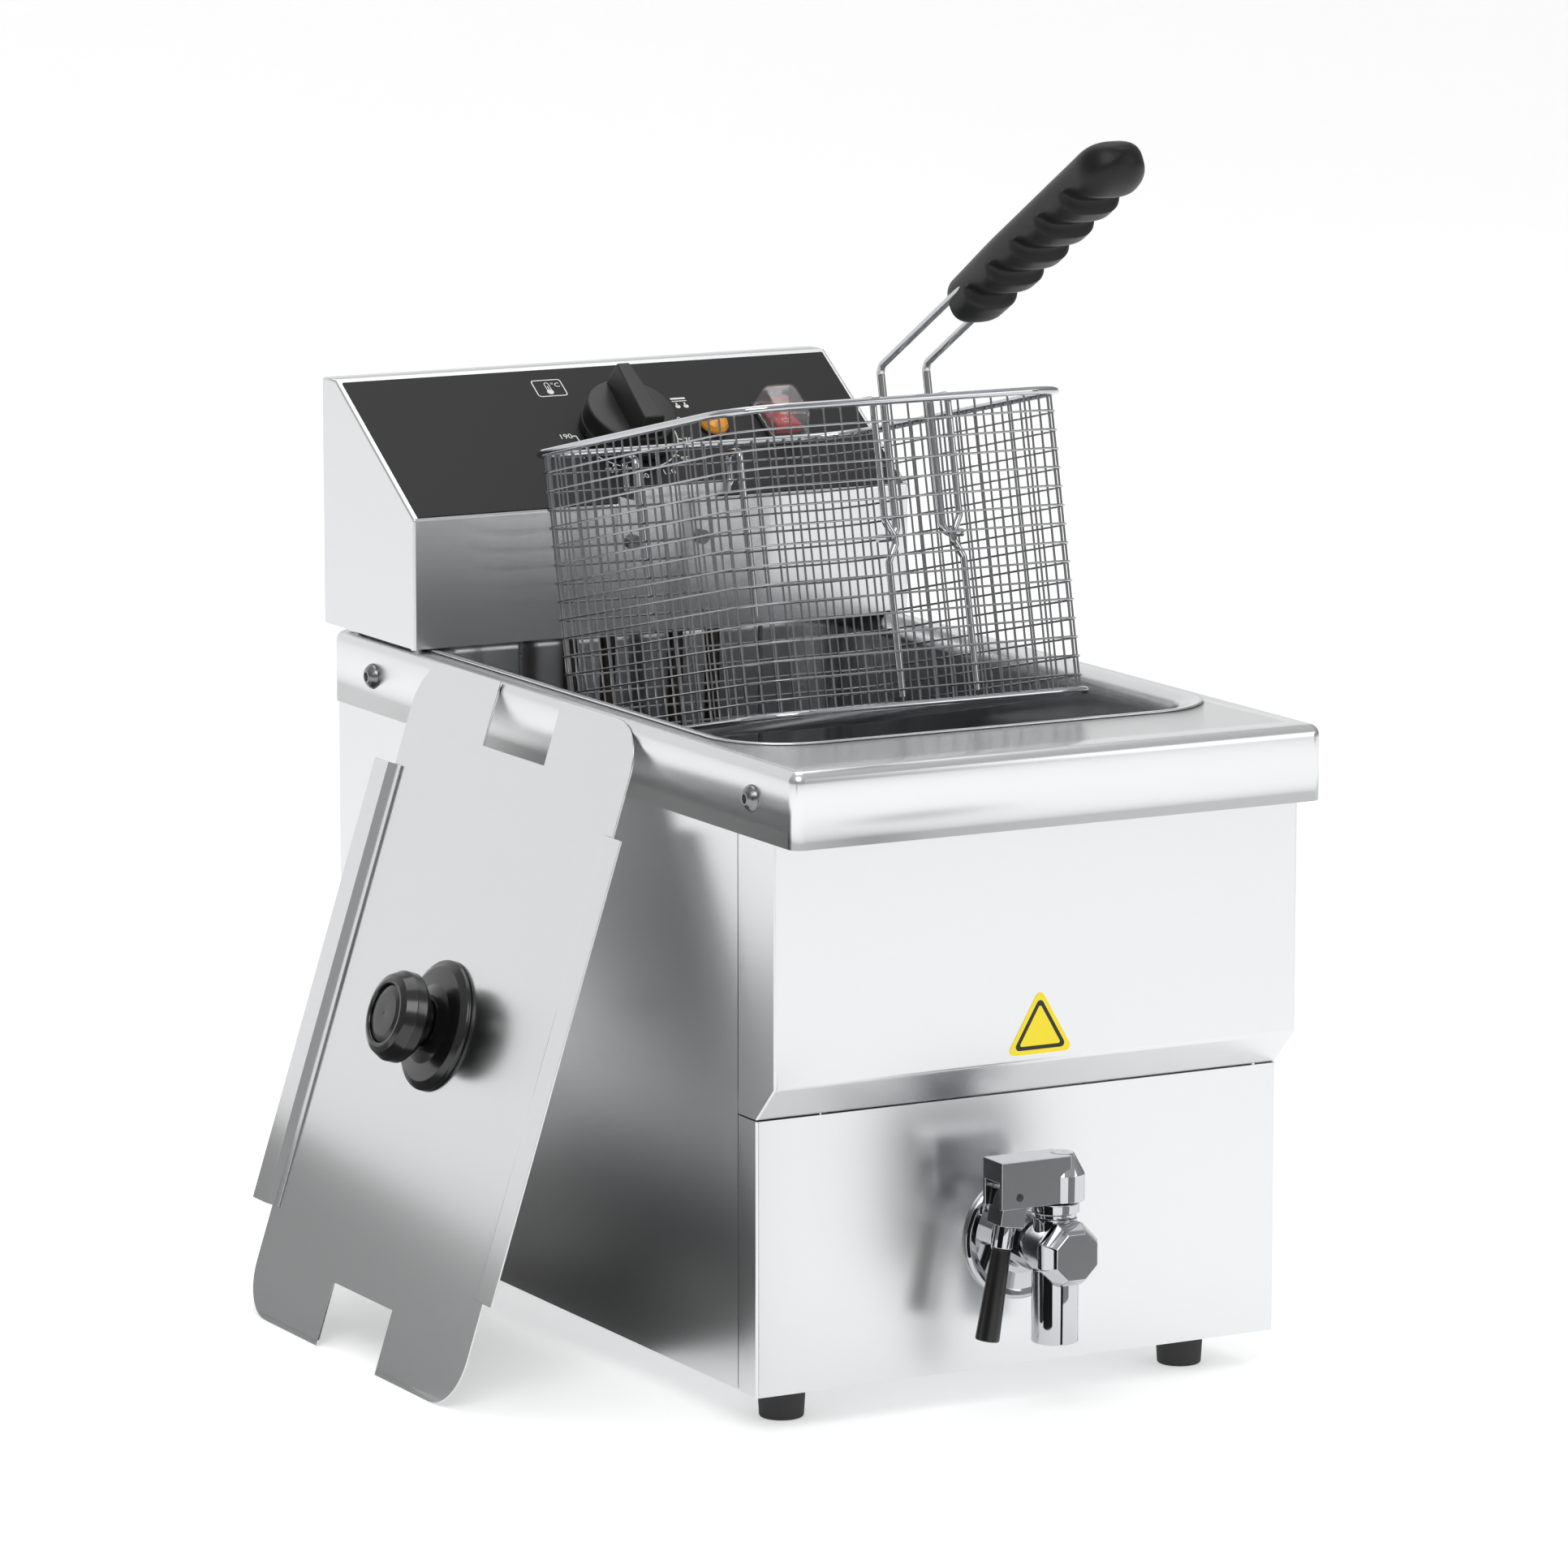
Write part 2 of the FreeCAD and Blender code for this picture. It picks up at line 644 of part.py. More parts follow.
def front_label():
    """A plain triangular sticker, point up, with rounded corners."""
    middle = TRAY_TOP - LABEL_DROP
    y = FRONT_FACE - LABEL_THICKNESS - SEAM / 2
    reach = LABEL_SIDE / math.sqrt(3) - 2 * LABEL_CORNER
    corners = []
    for angle in (90, 210, 330):
        turn = math.radians(angle)
        corners.append((reach * math.cos(turn), middle + reach * math.sin(turn)))
    ring = [Vector(x, y, z) for x, z in corners]
    pieces = [Part.Face(Part.makePolygon(ring + ring[:1])).extrude(Vector(0, LABEL_THICKNESS, 0))]
    for x, z in corners:
        pieces.append(rod(LABEL_CORNER, (x, y, z), (x, y + LABEL_THICKNESS, z)))
    for (x0, z0), (x1, z1) in zip(corners, corners[1:] + corners[:1]):
        pieces.append(edge_bar(x0, z0, x1, z1, y))
    return fuse(pieces)


def edge_bar(x0, z0, x1, z1, y):
    """A flat strip that widens one side of the sticker by its corner radius."""
    length = math.hypot(x1 - x0, z1 - z0)
    nx = (z1 - z0) / length * LABEL_CORNER
    nz = -(x1 - x0) / length * LABEL_CORNER
    ring = [
        Vector(x0 + nx, y, z0 + nz), Vector(x1 + nx, y, z1 + nz),
        Vector(x1 - nx, y, z1 - nz), Vector(x0 - nx, y, z0 - nz),
    ]
    return Part.Face(Part.makePolygon(ring + ring[:1])).extrude(Vector(0, LABEL_THICKNESS, 0))


# ---------------------------------------------------------------- drain tap
def along_y(radius, y0, y1):
    """A round bar on the tap's level axis."""
    return rod(radius, (0, y0, TAP_HEIGHT), (0, y1, TAP_HEIGHT))


def tap_escutcheon():
    """Dished flange against the lower front face."""
    outline = [
        (TAP_THREAD_RADIUS + SEAM, 0), (ESCUTCHEON_RADIUS, 0), (ESCUTCHEON_RADIUS, 2.2),
        (ESCUTCHEON_RADIUS - 1.5, 3.2), (ESCUTCHEON_RADIUS - 4, 2.6), (TAP_BODY_RADIUS + 1, ESCUTCHEON_DEPTH),
        (TAP_THREAD_RADIUS + SEAM, ESCUTCHEON_DEPTH),
    ]
    return turned(outline, (0, CHIN_FACE - SEAM, TAP_HEIGHT), (0, -1, 0))


def tap_body_shape():
    """The tap's level barrel, with the threaded end through the panel."""
    front = TAP_Y - CAP_BACK
    back = CHIN_FACE - ESCUTCHEON_DEPTH - 2 * SEAM
    barrel = along_y(TAP_BODY_RADIUS, front, back)
    thread = along_y(TAP_THREAD_RADIUS, back - 1, CHIN_FACE + TAP_THREAD_LENGTH)
    return fuse([barrel, thread, tap_boss(0)])


def tap_boss(grow):
    """The upright boss that carries the bonnet, grown by a clearance."""
    top = TAP_HEIGHT + TAP_BODY_RADIUS + 2
    return rod(BONNET_RADIUS - 1 + grow, (0, TAP_Y, TAP_HEIGHT), (0, TAP_Y, top + grow))


def tap_body():
    """Tap barrel with the inlet bore and the upright bore of the plug."""
    low = TAP_HEIGHT - TAP_BODY_RADIUS - 5
    high = TAP_HEIGHT + TAP_BODY_RADIUS + 5
    inlet = along_y(INLET_RADIUS, TAP_Y, CHIN_FACE + 30)
    plug_bore = rod(PLUG_RADIUS + RUN, (0, TAP_Y, low), (0, TAP_Y, high))
    return cut_all(tap_body_shape(), [inlet, plug_bore])


def tap_lock_nut():
    """Hexagon nut that clamps the tap to the panel from inside."""
    corners = []
    for corner in range(6):
        angle = math.radians(60 * corner)
        corners.append((LOCK_NUT_RADIUS * math.cos(angle), LOCK_NUT_RADIUS * math.sin(angle)))
    points = [Vector(x, CHIN_FACE + SHEET + SEAM, TAP_HEIGHT + z) for x, z in corners]
    nut = Part.Face(Part.makePolygon(points + points[:1])).extrude(Vector(0, LOCK_NUT_HEIGHT, 0))
    return nut.cut(along_y(TAP_THREAD_RADIUS + RUN, CHIN_FACE, CHIN_FACE + 20))


def tap_end_cap():
    """Eight-sided cap with a steep round chamfer down to its flat face."""
    back = TAP_Y - CAP_BACK - SEAM
    front = TAP_Y - CAP_FRONT
    corners = []
    for corner in range(8):
        angle = math.radians(22.5 + 45 * corner)
        corners.append(Vector(CAP_RADIUS * math.cos(angle), back, TAP_HEIGHT + CAP_RADIUS * math.sin(angle)))
    prism = Part.Face(Part.makePolygon(corners + corners[:1])).extrude(Vector(0, front - back, 0))
    chamfer = cone(CAP_FACE_RADIUS, CAP_RADIUS + 2.6, (0, front, TAP_HEIGHT), (0, front + 9, TAP_HEIGHT))
    rear = along_y(CAP_RADIUS + 2.6, front + 9, back)
    rear_chamfer = cone(CAP_RADIUS - 2, CAP_RADIUS + 6, (0, back, TAP_HEIGHT), (0, back - 8, TAP_HEIGHT))
    body = prism.common(fuse([chamfer, rear]))
    body = body.common(fuse([rear_chamfer, along_y(CAP_RADIUS + 6, back - 8, front)]))
    return body.cut(tap_boss(SEAM))


def tap_spout():
    """Down pipe of the tap with its socket collar, saddled onto the barrel."""
    pipe = rod(SPOUT_RADIUS, (0, TAP_Y, SPOUT_BOTTOM), (0, TAP_Y, TAP_HEIGHT))
    collar = rod(SPOUT_COLLAR_RADIUS, (0, TAP_Y, SPOUT_COLLAR_BOTTOM), (0, TAP_Y, TAP_HEIGHT))
    bore = rod(SPOUT_BORE, (0, TAP_Y, SPOUT_BOTTOM - 1), (0, TAP_Y, TAP_HEIGHT + 1))
    barrel = along_y(TAP_BODY_RADIUS + RUN, TAP_Y - 30, CHIN_FACE)
    cap = along_y(CAP_RADIUS + SEAM, TAP_Y - CAP_FRONT - 5, TAP_Y - CAP_BACK)
    return cut_all(fuse([pipe, collar]), [bore, barrel, cap])


def tap_bonnet():
    """Stepped collar that keeps the plug in and guides its stem."""
    base = TAP_HEIGHT + TAP_BODY_RADIUS + 2 + SEAM
    top = LEVER_BOTTOM - SEAT
    outline = [
        (STEM_RADIUS + RUN, base), (BONNET_RADIUS - 1.5, base), (BONNET_RADIUS - 1.5, base + 2),
        (BONNET_RADIUS, base + 2), (BONNET_RADIUS, top), (STEM_RADIUS + RUN, top),
    ]
    return turned(outline, (0, TAP_Y, 0))


def tap_plug():
    """The turning plug with its cross hole and its stem."""
    low = TAP_HEIGHT - TAP_BODY_RADIUS + 1
    shoulder = TAP_HEIGHT + TAP_BODY_RADIUS + 2
    outline = [
        (0, low), (PLUG_RADIUS, low), (PLUG_RADIUS, shoulder), (STEM_RADIUS, shoulder),
        (STEM_RADIUS, LEVER_BOTTOM + 10), (0, LEVER_BOTTOM + 10),
    ]
    plug = turned(outline, (0, TAP_Y, 0))
    cross = rod(PLUG_HOLE_RADIUS, (-10, TAP_Y, TAP_HEIGHT), (0, TAP_Y, TAP_HEIGHT))
    down = rod(PLUG_HOLE_RADIUS, (0, TAP_Y, TAP_HEIGHT), (0, TAP_Y, low - 1))
    return plug.cut(fuse([cross, down]))


def tap_lever():
    """Lever block: a fork at one end, a chamfered round nose over the stem."""
    half = LEVER_WIDTH / 2
    top = LEVER_BOTTOM + LEVER_HEIGHT
    beam = block(-LEVER_REACH, LEVER_NOSE_OFFSET, TAP_Y - half, TAP_Y + half, LEVER_BOTTOM, top)
    outline = [
        (0, LEVER_BOTTOM), (LEVER_NOSE_RADIUS, LEVER_BOTTOM),
        (LEVER_NOSE_RADIUS, LEVER_BOTTOM + 13), (LEVER_NOSE_RADIUS - 5.5, top), (0, top),
    ]
    nose = turned(outline, (LEVER_NOSE_OFFSET, TAP_Y, 0))
    fork = block(-LEVER_REACH - 1, -LEVER_REACH + FORK_DEPTH, TAP_Y - FORK_WIDTH / 2,
                 TAP_Y + FORK_WIDTH / 2, LEVER_BOTTOM - 1, LEVER_BOTTOM + FORK_HEIGHT)
    stem = rod(STEM_RADIUS + RUN, (0, TAP_Y, 0), (0, TAP_Y, LEVER_BOTTOM + 10 + SEAM))
    pin = rod(PIN_RADIUS + RUN, (PIN_X, TAP_Y - 20, PIN_Z), (PIN_X, TAP_Y + 20, PIN_Z))
    return cut_all(fuse([beam, nose]), [fork, stem, pin])


def fork_pin():
    """Cross pin of the lever's fork."""
    half = LEVER_WIDTH / 2
    return rod(PIN_RADIUS, (PIN_X, TAP_Y - half, PIN_Z), (PIN_X, TAP_Y + half, PIN_Z))


def grip_leant(shape):
    """Turn a hanging grip piece about the fork pin to its resting lean."""
    pivot = Vector(PIN_X, TAP_Y, PIN_Z)
    lean = Rotation(Vector(0, 1, 0), GRIP_LEAN)
    return placed(shape, Placement(pivot - lean.multVec(pivot), lean))


def grip_hinge_block():
    """Square block that hangs in the fork, round over its pin."""
    half = HINGE_BLOCK / 2
    body = block(PIN_X - half, PIN_X + half, TAP_Y - half, TAP_Y + half, PIN_Z - HINGE_DROP, PIN_Z)
    crown = rod(half, (PIN_X, TAP_Y - half, PIN_Z), (PIN_X, TAP_Y + half, PIN_Z))
    pin = rod(PIN_RADIUS + RUN, (PIN_X, TAP_Y - 20, PIN_Z), (PIN_X, TAP_Y + 20, PIN_Z))
    thread = rod(GRIP_ROD_RADIUS + RUN, (PIN_X, TAP_Y, PIN_Z - HINGE_DROP - 1),
                 (PIN_X, TAP_Y, PIN_Z - HINGE_DROP + 8))
    return grip_leant(cut_all(fuse([body, crown]), [pin, thread]))


def grip_collar():
    """Plated collar and the rod inside the grip."""
    top = PIN_Z - HINGE_DROP - SEAM
    collar = rod(COLLAR_RADIUS, (PIN_X, TAP_Y, top - COLLAR_LENGTH), (PIN_X, TAP_Y, top))
    core = rod(GRIP_ROD_RADIUS, (PIN_X, TAP_Y, top - COLLAR_LENGTH - 30), (PIN_X, TAP_Y, top + 7))
    return grip_leant(fuse([collar, core]))


def grip_sleeve():
    """Black sleeve that widens towards its end."""
    top = PIN_Z - HINGE_DROP - COLLAR_LENGTH - 2 * SEAM
    sleeve = cone(GRIP_END_RADIUS, GRIP_TOP_RADIUS, (PIN_X, TAP_Y, top - GRIP_LENGTH), (PIN_X, TAP_Y, top))
    core = rod(GRIP_ROD_RADIUS + RUN, (PIN_X, TAP_Y, top - 31), (PIN_X, TAP_Y, top + 1))
    return grip_leant(sleeve.cut(core))


# ---------------------------------------------------------------- control head
def head_outline(inset):
    """The head's side profile, set in by a thickness."""
    run = inset * math.tan(math.radians(SLOPE_ANGLE / 2))
    return [
        (HEAD_FRONT + inset, HEAD_BOTTOM), (HEAD_FRONT + inset, HEAD_BROW - run),
        (SLOPE_BACK + run, HEAD_TOP - inset), (HEAD_BACK, HEAD_TOP - inset),
        (HEAD_BACK, HEAD_BOTTOM),
    ]


def slope_cut(x, s, radius):
    """A round hole through the head's slope."""
    return on_slope(rod(radius, (x, s, -6), (x, s, 6)))


def switch_cut(grow):
    """The switch's rectangular hole, a little larger than its body."""
    half_x = SWITCH_WIDTH / 2 - 2 + grow
    half_s = SWITCH_LENGTH / 2 - 2 + grow
    return on_slope(block(SWITCH_X - half_x, SWITCH_X + half_x, CONTROL_ROW - half_s,
                          CONTROL_ROW + half_s, -6, 6))


def control_cuts():
    """All holes through the slope and its overlay."""
    return [
        slope_cut(KNOB_X, CONTROL_ROW, SPINDLE_RADIUS + 1.5),
        slope_cut(LAMP_X, CONTROL_ROW, LAMP_BODY_RADIUS + SEAM),
        switch_cut(SEAM),
    ]


def head_cover():
    """Bent cover of the control head: front, slope, ledge and both cheeks."""
    outer = side_profile(head_outline(0), HEAD_HALF)
    inner = side_profile([(y, z - (1 if z == HEAD_BOTTOM else 0)) for y, z in head_outline(SHEET)],
                         HEAD_HALF - SHEET)
    back = block(-HEAD_HALF + SHEET, HEAD_HALF - SHEET, HEAD_BACK - 2, HEAD_BACK + 2,
                 HEAD_BOTTOM - 1, HEAD_TOP - SHEET)
    cover = outer.cut(inner).cut(back)
    hanger_holes = []
    for x in (-HANGER_X, HANGER_X):
        hanger_holes.append(rod(SCREW_RADIUS + RUN, (x, HEAD_FRONT - 3, hanger_screw_z()),
                                (x, HEAD_FRONT + 3, hanger_screw_z())))
    return cut_all(cover, control_cuts() + hanger_holes)


def head_rear_plate():
    """Back plate of the head, with the cable's gland hole and the reset button's hole."""
    half = HEAD_HALF - SHEET - SEAM
    plate = block(-half, half, HEAD_BACK - SHEET, HEAD_BACK, HEAD_BOTTOM + SHEET + SEAM,
                  HEAD_TOP - SHEET - SEAM)
    gland = rod(GLAND_RADIUS - 2 + SEAM, (GLAND_X, HEAD_BACK - 5, GLAND_HEIGHT),
                (GLAND_X, HEAD_BACK + 5, GLAND_HEIGHT))
    reset = rod(RESET_RADIUS + 0.1, (RESET_X, HEAD_BACK - 5, RESET_HEIGHT),
                (RESET_X, HEAD_BACK + 5, RESET_HEIGHT))
    slots = []
    low = TRAY_TOP + HEAD_VENT_RISE
    half_slot = HEAD_VENT_WIDTH / 2
    for column in range(-3, 4):
        x = column * HEAD_VENT_PITCH
        slots.append(block(x - half_slot, x + half_slot, HEAD_BACK - 5, HEAD_BACK + 5,
                           low, low + HEAD_VENT_LENGTH))
    return cut_all(plate, [gland, reset] + slots)


def riser_places():
    """Where the element's four risers go through the head's base: (x, y)."""
    return [(side * half * RISER_SHARE, ELEMENT_RISER_Y)
            for half in ELEMENT_HALF_WIDTHS for side in (-1, 1)]


def head_base_plate():
    """Bottom of the head, on four small pads, with two tabs over the tray's rear skirt."""
    half = HEAD_HALF - SHEET - SEAM
    front = HEAD_FRONT + SHEET + SEAM
    back = HEAD_BACK
    plate = block(-half, half, front, back, HEAD_BOTTOM, HEAD_BOTTOM + SHEET)
    pads = []
    for x in (-half + 5, half - 5):
        for y in (front + 8, TRAY_REAR - 14):
            pads.append(rod(3.5, (x, y, TRAY_TOP + SEAM / 2), (x, y, HEAD_BOTTOM)))
    tabs = []
    for x in (-80, 80):
        tabs.append(block(x - 12, x + 12, TRAY_REAR + SEAT, TRAY_REAR + SEAT + 1.5,
                          TRAY_TOP - 28, HEAD_BOTTOM))
    holes = [rod(ELEMENT_RADIUS + SEAM, (x, y, HEAD_BOTTOM - 5), (x, y, HEAD_BOTTOM + 5))
             for x, y in riser_places()]
    for x in (-PROBE_X, PROBE_X):
        holes.append(rod(PROBE_RADIUS + SEAM, (x, ELEMENT_RISER_Y, HEAD_BOTTOM - 5),
                         (x, ELEMENT_RISER_Y, HEAD_BOTTOM + 5)))
    return cut_all(fuse([plate] + pads + tabs), holes)


def head_screws():
    """Screws of the head's back plate, and the two that hold the basket's hanger in front."""
    shapes = []
    y = HEAD_BACK + SEAM / 2
    for x in (-HEAD_HALF + 12, HEAD_HALF - 12):
        for z in (HEAD_BOTTOM + 14, HEAD_TOP - 14):
            shapes.append(rod(3.4, (x, y, z), (x, y + 2.2, z)))
    for x in (-HANGER_X, HANGER_X):
        y = HEAD_FRONT - SEAM - HANGER_THICKNESS - SEAM / 2
        shank = rod(SCREW_RADIUS, (x, y - 1, hanger_screw_z()), (x, HEAD_FRONT + 8, hanger_screw_z()))
        shapes.append(fuse([rod(3.8, (x, y - 2.4, hanger_screw_z()), (x, y, hanger_screw_z())), shank]))
    return group(shapes)


def control_overlay():
    """Dark face plate on the slope."""
    half = HEAD_HALF - OVERLAY_EDGE
    plate = block(-half, half, 1.0, SLOPE_LENGTH - OVERLAY_EDGE, SEAM / 2, SEAM / 2 + OVERLAY_THICKNESS)
    return cut_all(on_slope(plate), control_cuts())


def thermostat_body():
    """Capillary thermostat behind the knob, bolted under the slope."""
    low = -32.0
    body = block(KNOB_X - 21, KNOB_X + 21, CONTROL_ROW - 16, CONTROL_ROW + 16, low, -SHEET - SEAM)
    bore = rod(SPINDLE_RADIUS + RUN, (KNOB_X, CONTROL_ROW, -22), (KNOB_X, CONTROL_ROW, 5))
    return on_slope(body.cut(bore))


def safety_thermostat():
    """Over-heat cut-out behind the reset button."""
    back = HEAD_BACK - SHEET - SEAM
    body = block(RESET_X - 17, RESET_X + 17, back - 26, back, RESET_HEIGHT - 15, RESET_HEIGHT + 15)
    bore = rod(RESET_RADIUS + 0.1, (RESET_X, back - 10, RESET_HEIGHT), (RESET_X, back + 1, RESET_HEIGHT))
    return body.cut(bore)


def reset_button():
    """Red reset button that stands out of the back plate."""
    inner = HEAD_BACK - SHEET - SEAM - 10 + RESET_TRAVEL + 0.5
    return rod(RESET_RADIUS, (RESET_X, inner, RESET_HEIGHT), (RESET_X, HEAD_BACK + 4, RESET_HEIGHT))


def terminal_block():
    """Ceramic terminal block on the base plate, with its row of screws' wells."""
    z0 = HEAD_BOTTOM + SHEET + SEAM
    body = block(35, 95, 214, 236, z0, z0 + 18)
    wells = []
    for column in range(5):
        x = 41 + column * 12
        wells.append(rod(3, (x, 225, z0 + 10), (x, 225, z0 + 20)))
    return cut_all(body, wells)


def pilot_lamp_body():
    """Lamp body behind the slope, with its clip collar."""
    body = rod(LAMP_BODY_RADIUS, (LAMP_X, CONTROL_ROW, -24), (LAMP_X, CONTROL_ROW, 1.0))
    return on_slope(body)


def pilot_lamp_lens():
    """Domed lens of the lamp."""
    low = 1.0 + SEAM
    rise = LAMP_DOME
    radius = (LAMP_RADIUS ** 2 + rise ** 2) / (2 * rise)
    ball = Part.makeSphere(radius, Vector(LAMP_X, CONTROL_ROW, low + rise - radius))
    dome = ball.common(block(LAMP_X - 20, LAMP_X + 20, CONTROL_ROW - 20, CONTROL_ROW + 20, low, 30))
    return on_slope(dome)


def switch_housing():
    """Rocker switch case with its bezel on the slope."""
    half_x = SWITCH_WIDTH / 2
    half_s = SWITCH_LENGTH / 2
    z0 = OVERLAY_THICKNESS + SEAM
    bezel = block(SWITCH_X - half_x, SWITCH_X + half_x, CONTROL_ROW - half_s,
                  CONTROL_ROW + half_s, z0, z0 + SWITCH_BEZEL)
    body = block(SWITCH_X - half_x + 2, SWITCH_X + half_x - 2, CONTROL_ROW - half_s + 2,
                 CONTROL_ROW + half_s - 2, -22, z0)
    well = block(SWITCH_X - ROCKER_WIDTH / 2 - 0.4, SWITCH_X + ROCKER_WIDTH / 2 + 0.4,
                 CONTROL_ROW - ROCKER_LENGTH / 2 - 1.2, CONTROL_ROW + ROCKER_LENGTH / 2 + 1.2,
                 -8, z0 + SWITCH_BEZEL + 1)
    pins = []
    for side in (-1, 1):
        x0 = SWITCH_X + side * (ROCKER_WIDTH / 2 - 1)
        x1 = SWITCH_X + side * (ROCKER_WIDTH / 2 + 0.8)
        pins.append(rod(1.2, (x0, CONTROL_ROW, ROCKER_AXIS), (x1, CONTROL_ROW, ROCKER_AXIS)))
    return on_slope(fuse([bezel, body]).cut(well).fuse(Part.makeCompound(pins)).removeSplitter())


def switch_rocker():
    """Rocker key: shallow V top, round belly, tilted to its off position."""
    half_x = ROCKER_WIDTH / 2
    half_s = ROCKER_LENGTH / 2
    top = 5.2
    points = [
        (CONTROL_ROW - half_s, top + 0.8), (CONTROL_ROW, top - 0.9), (CONTROL_ROW + half_s, top + 0.8),
        (CONTROL_ROW + half_s, 0.5), (CONTROL_ROW + 5, -4.5), (CONTROL_ROW - 5, -4.5),
        (CONTROL_ROW - half_s, 0.5),
    ]
    corners = [Vector(SWITCH_X - half_x, s, z) for s, z in points]
    key = Part.Face(Part.makePolygon(corners + corners[:1])).extrude(Vector(ROCKER_WIDTH, 0, 0))
    bore = rod(1.2 + RUN, (SWITCH_X - 20, CONTROL_ROW, ROCKER_AXIS), (SWITCH_X + 20, CONTROL_ROW, ROCKER_AXIS))
    pivot = Vector(SWITCH_X, CONTROL_ROW, ROCKER_AXIS)
    tilt = Rotation(Vector(1, 0, 0), -ROCKER_TILT)
    tilted = placed(key.cut(bore), Placement(pivot - tilt.multVec(pivot), tilt))
    return on_slope(tilted)


def boot_solid(inset):
    """The splash boot's outside, a tapered box, set in by a thickness."""
    base = OVERLAY_THICKNESS + SEAM + SWITCH_BEZEL + SEAM
    half_x = SWITCH_WIDTH / 2 - 1.0 - inset
    half_s = SWITCH_LENGTH / 2 - 1.0 - inset
    top_x = BOOT_TOP_WIDTH / 2 - inset
    top_s = BOOT_TOP_LENGTH / 2 - inset
    z0 = base - inset
    z1 = base + BOOT_HEIGHT - inset
    low = [Vector(SWITCH_X + sx * half_x, CONTROL_ROW + sy * half_s, z0)
           for sx, sy in ((-1, -1), (1, -1), (1, 1), (-1, 1))]
    high = [Vector(SWITCH_X + sx * top_x, CONTROL_ROW + sy * top_s, z1)
            for sx, sy in ((-1, -1), (1, -1), (1, 1), (-1, 1))]
    wires = [Part.makePolygon(low + low[:1]), Part.makePolygon(high + high[:1])]
    return Part.makeLoft(wires, True, True)


def switch_boot():
    """Clear splash boot over the rocker."""
    return on_slope(boot_solid(0).cut(boot_solid(BOOT_WALL)))


def cable_gland():
    """Gland for the mains lead in the back plate."""
    front = HEAD_BACK - 10
    back = HEAD_BACK + 12
    y0 = HEAD_BACK + SEAM
    parts = [
        rod(GLAND_RADIUS - 2, (GLAND_X, front, GLAND_HEIGHT), (GLAND_X, back - 4, GLAND_HEIGHT)),
        rod(GLAND_RADIUS, (GLAND_X, y0, GLAND_HEIGHT), (GLAND_X, y0 + 4, GLAND_HEIGHT)),
        rod(GLAND_RADIUS - 1, (GLAND_X, y0 + 4, GLAND_HEIGHT), (GLAND_X, back, GLAND_HEIGHT)),
    ]
    bore = rod(GLAND_BORE, (GLAND_X, front - 1, GLAND_HEIGHT), (GLAND_X, back + 1, GLAND_HEIGHT))
    return fuse(parts).cut(bore)


def heating_element():
    """Two tube loops low in the tank, each with a riser at both ends."""
    z = TANK_FLOOR + ELEMENT_CLEARANCE
    top = HEAD_BOTTOM + 22
    loops = []
    for index, half in enumerate(ELEMENT_HALF_WIDTHS):
        riser = half * RISER_SHARE
        front = ELEMENT_FRONT + index * 36
        back = ELEMENT_RISER_Y - 30 - index * 26
        points = [
            (-riser, ELEMENT_RISER_Y, top), (-riser, ELEMENT_RISER_Y, z), (-riser, back, z),
            (-half, back, z), (-half, front, z), (half, front, z), (half, back, z),
            (riser, back, z), (riser, ELEMENT_RISER_Y, z), (riser, ELEMENT_RISER_Y, top),
        ]
        bend = min(ELEMENT_BEND, (half - riser) / 2 - 0.5, 12.0)
        loops.append(bent_rod(points, ELEMENT_RADIUS, bend))
    return group(loops)


def element_flange():
    """Brass nuts that clamp each riser to the head's base plate."""
    shapes = []
    z0 = HEAD_BOTTOM + SHEET + SEAM
    for x, y in riser_places():
        nut = rod(7, (x, y, z0), (x, y, z0 + 5))
        shapes.append(nut.cut(rod(ELEMENT_RADIUS + SEAM, (x, y, z0 - 1), (x, y, z0 + 6))))
    return group(shapes)


def thermostat_bulbs():
    """Capillary bulbs of the two thermostats, hung just above the element."""
    shapes = []
    for x in (-PROBE_X, PROBE_X):
        y = ELEMENT_RISER_Y
        low = TANK_FLOOR + ELEMENT_CLEARANCE + 14
        bulb = rod(PROBE_RADIUS, (x, y, low), (x, y, low + PROBE_LENGTH))
        stem = rod(1.2, (x, y, low + PROBE_LENGTH - 1), (x, y, HEAD_BOTTOM + 2))
        plug = rod(PROBE_RADIUS, (x, y, HEAD_BOTTOM + 0.5), (x, y, HEAD_BOTTOM + 8))
        shapes.append(fuse([bulb, stem, plug]))
    return group(shapes)


def knob_base():
    """Height on the slope where the knob starts."""
    return OVERLAY_THICKNESS + SEAM + KNOB_GAP


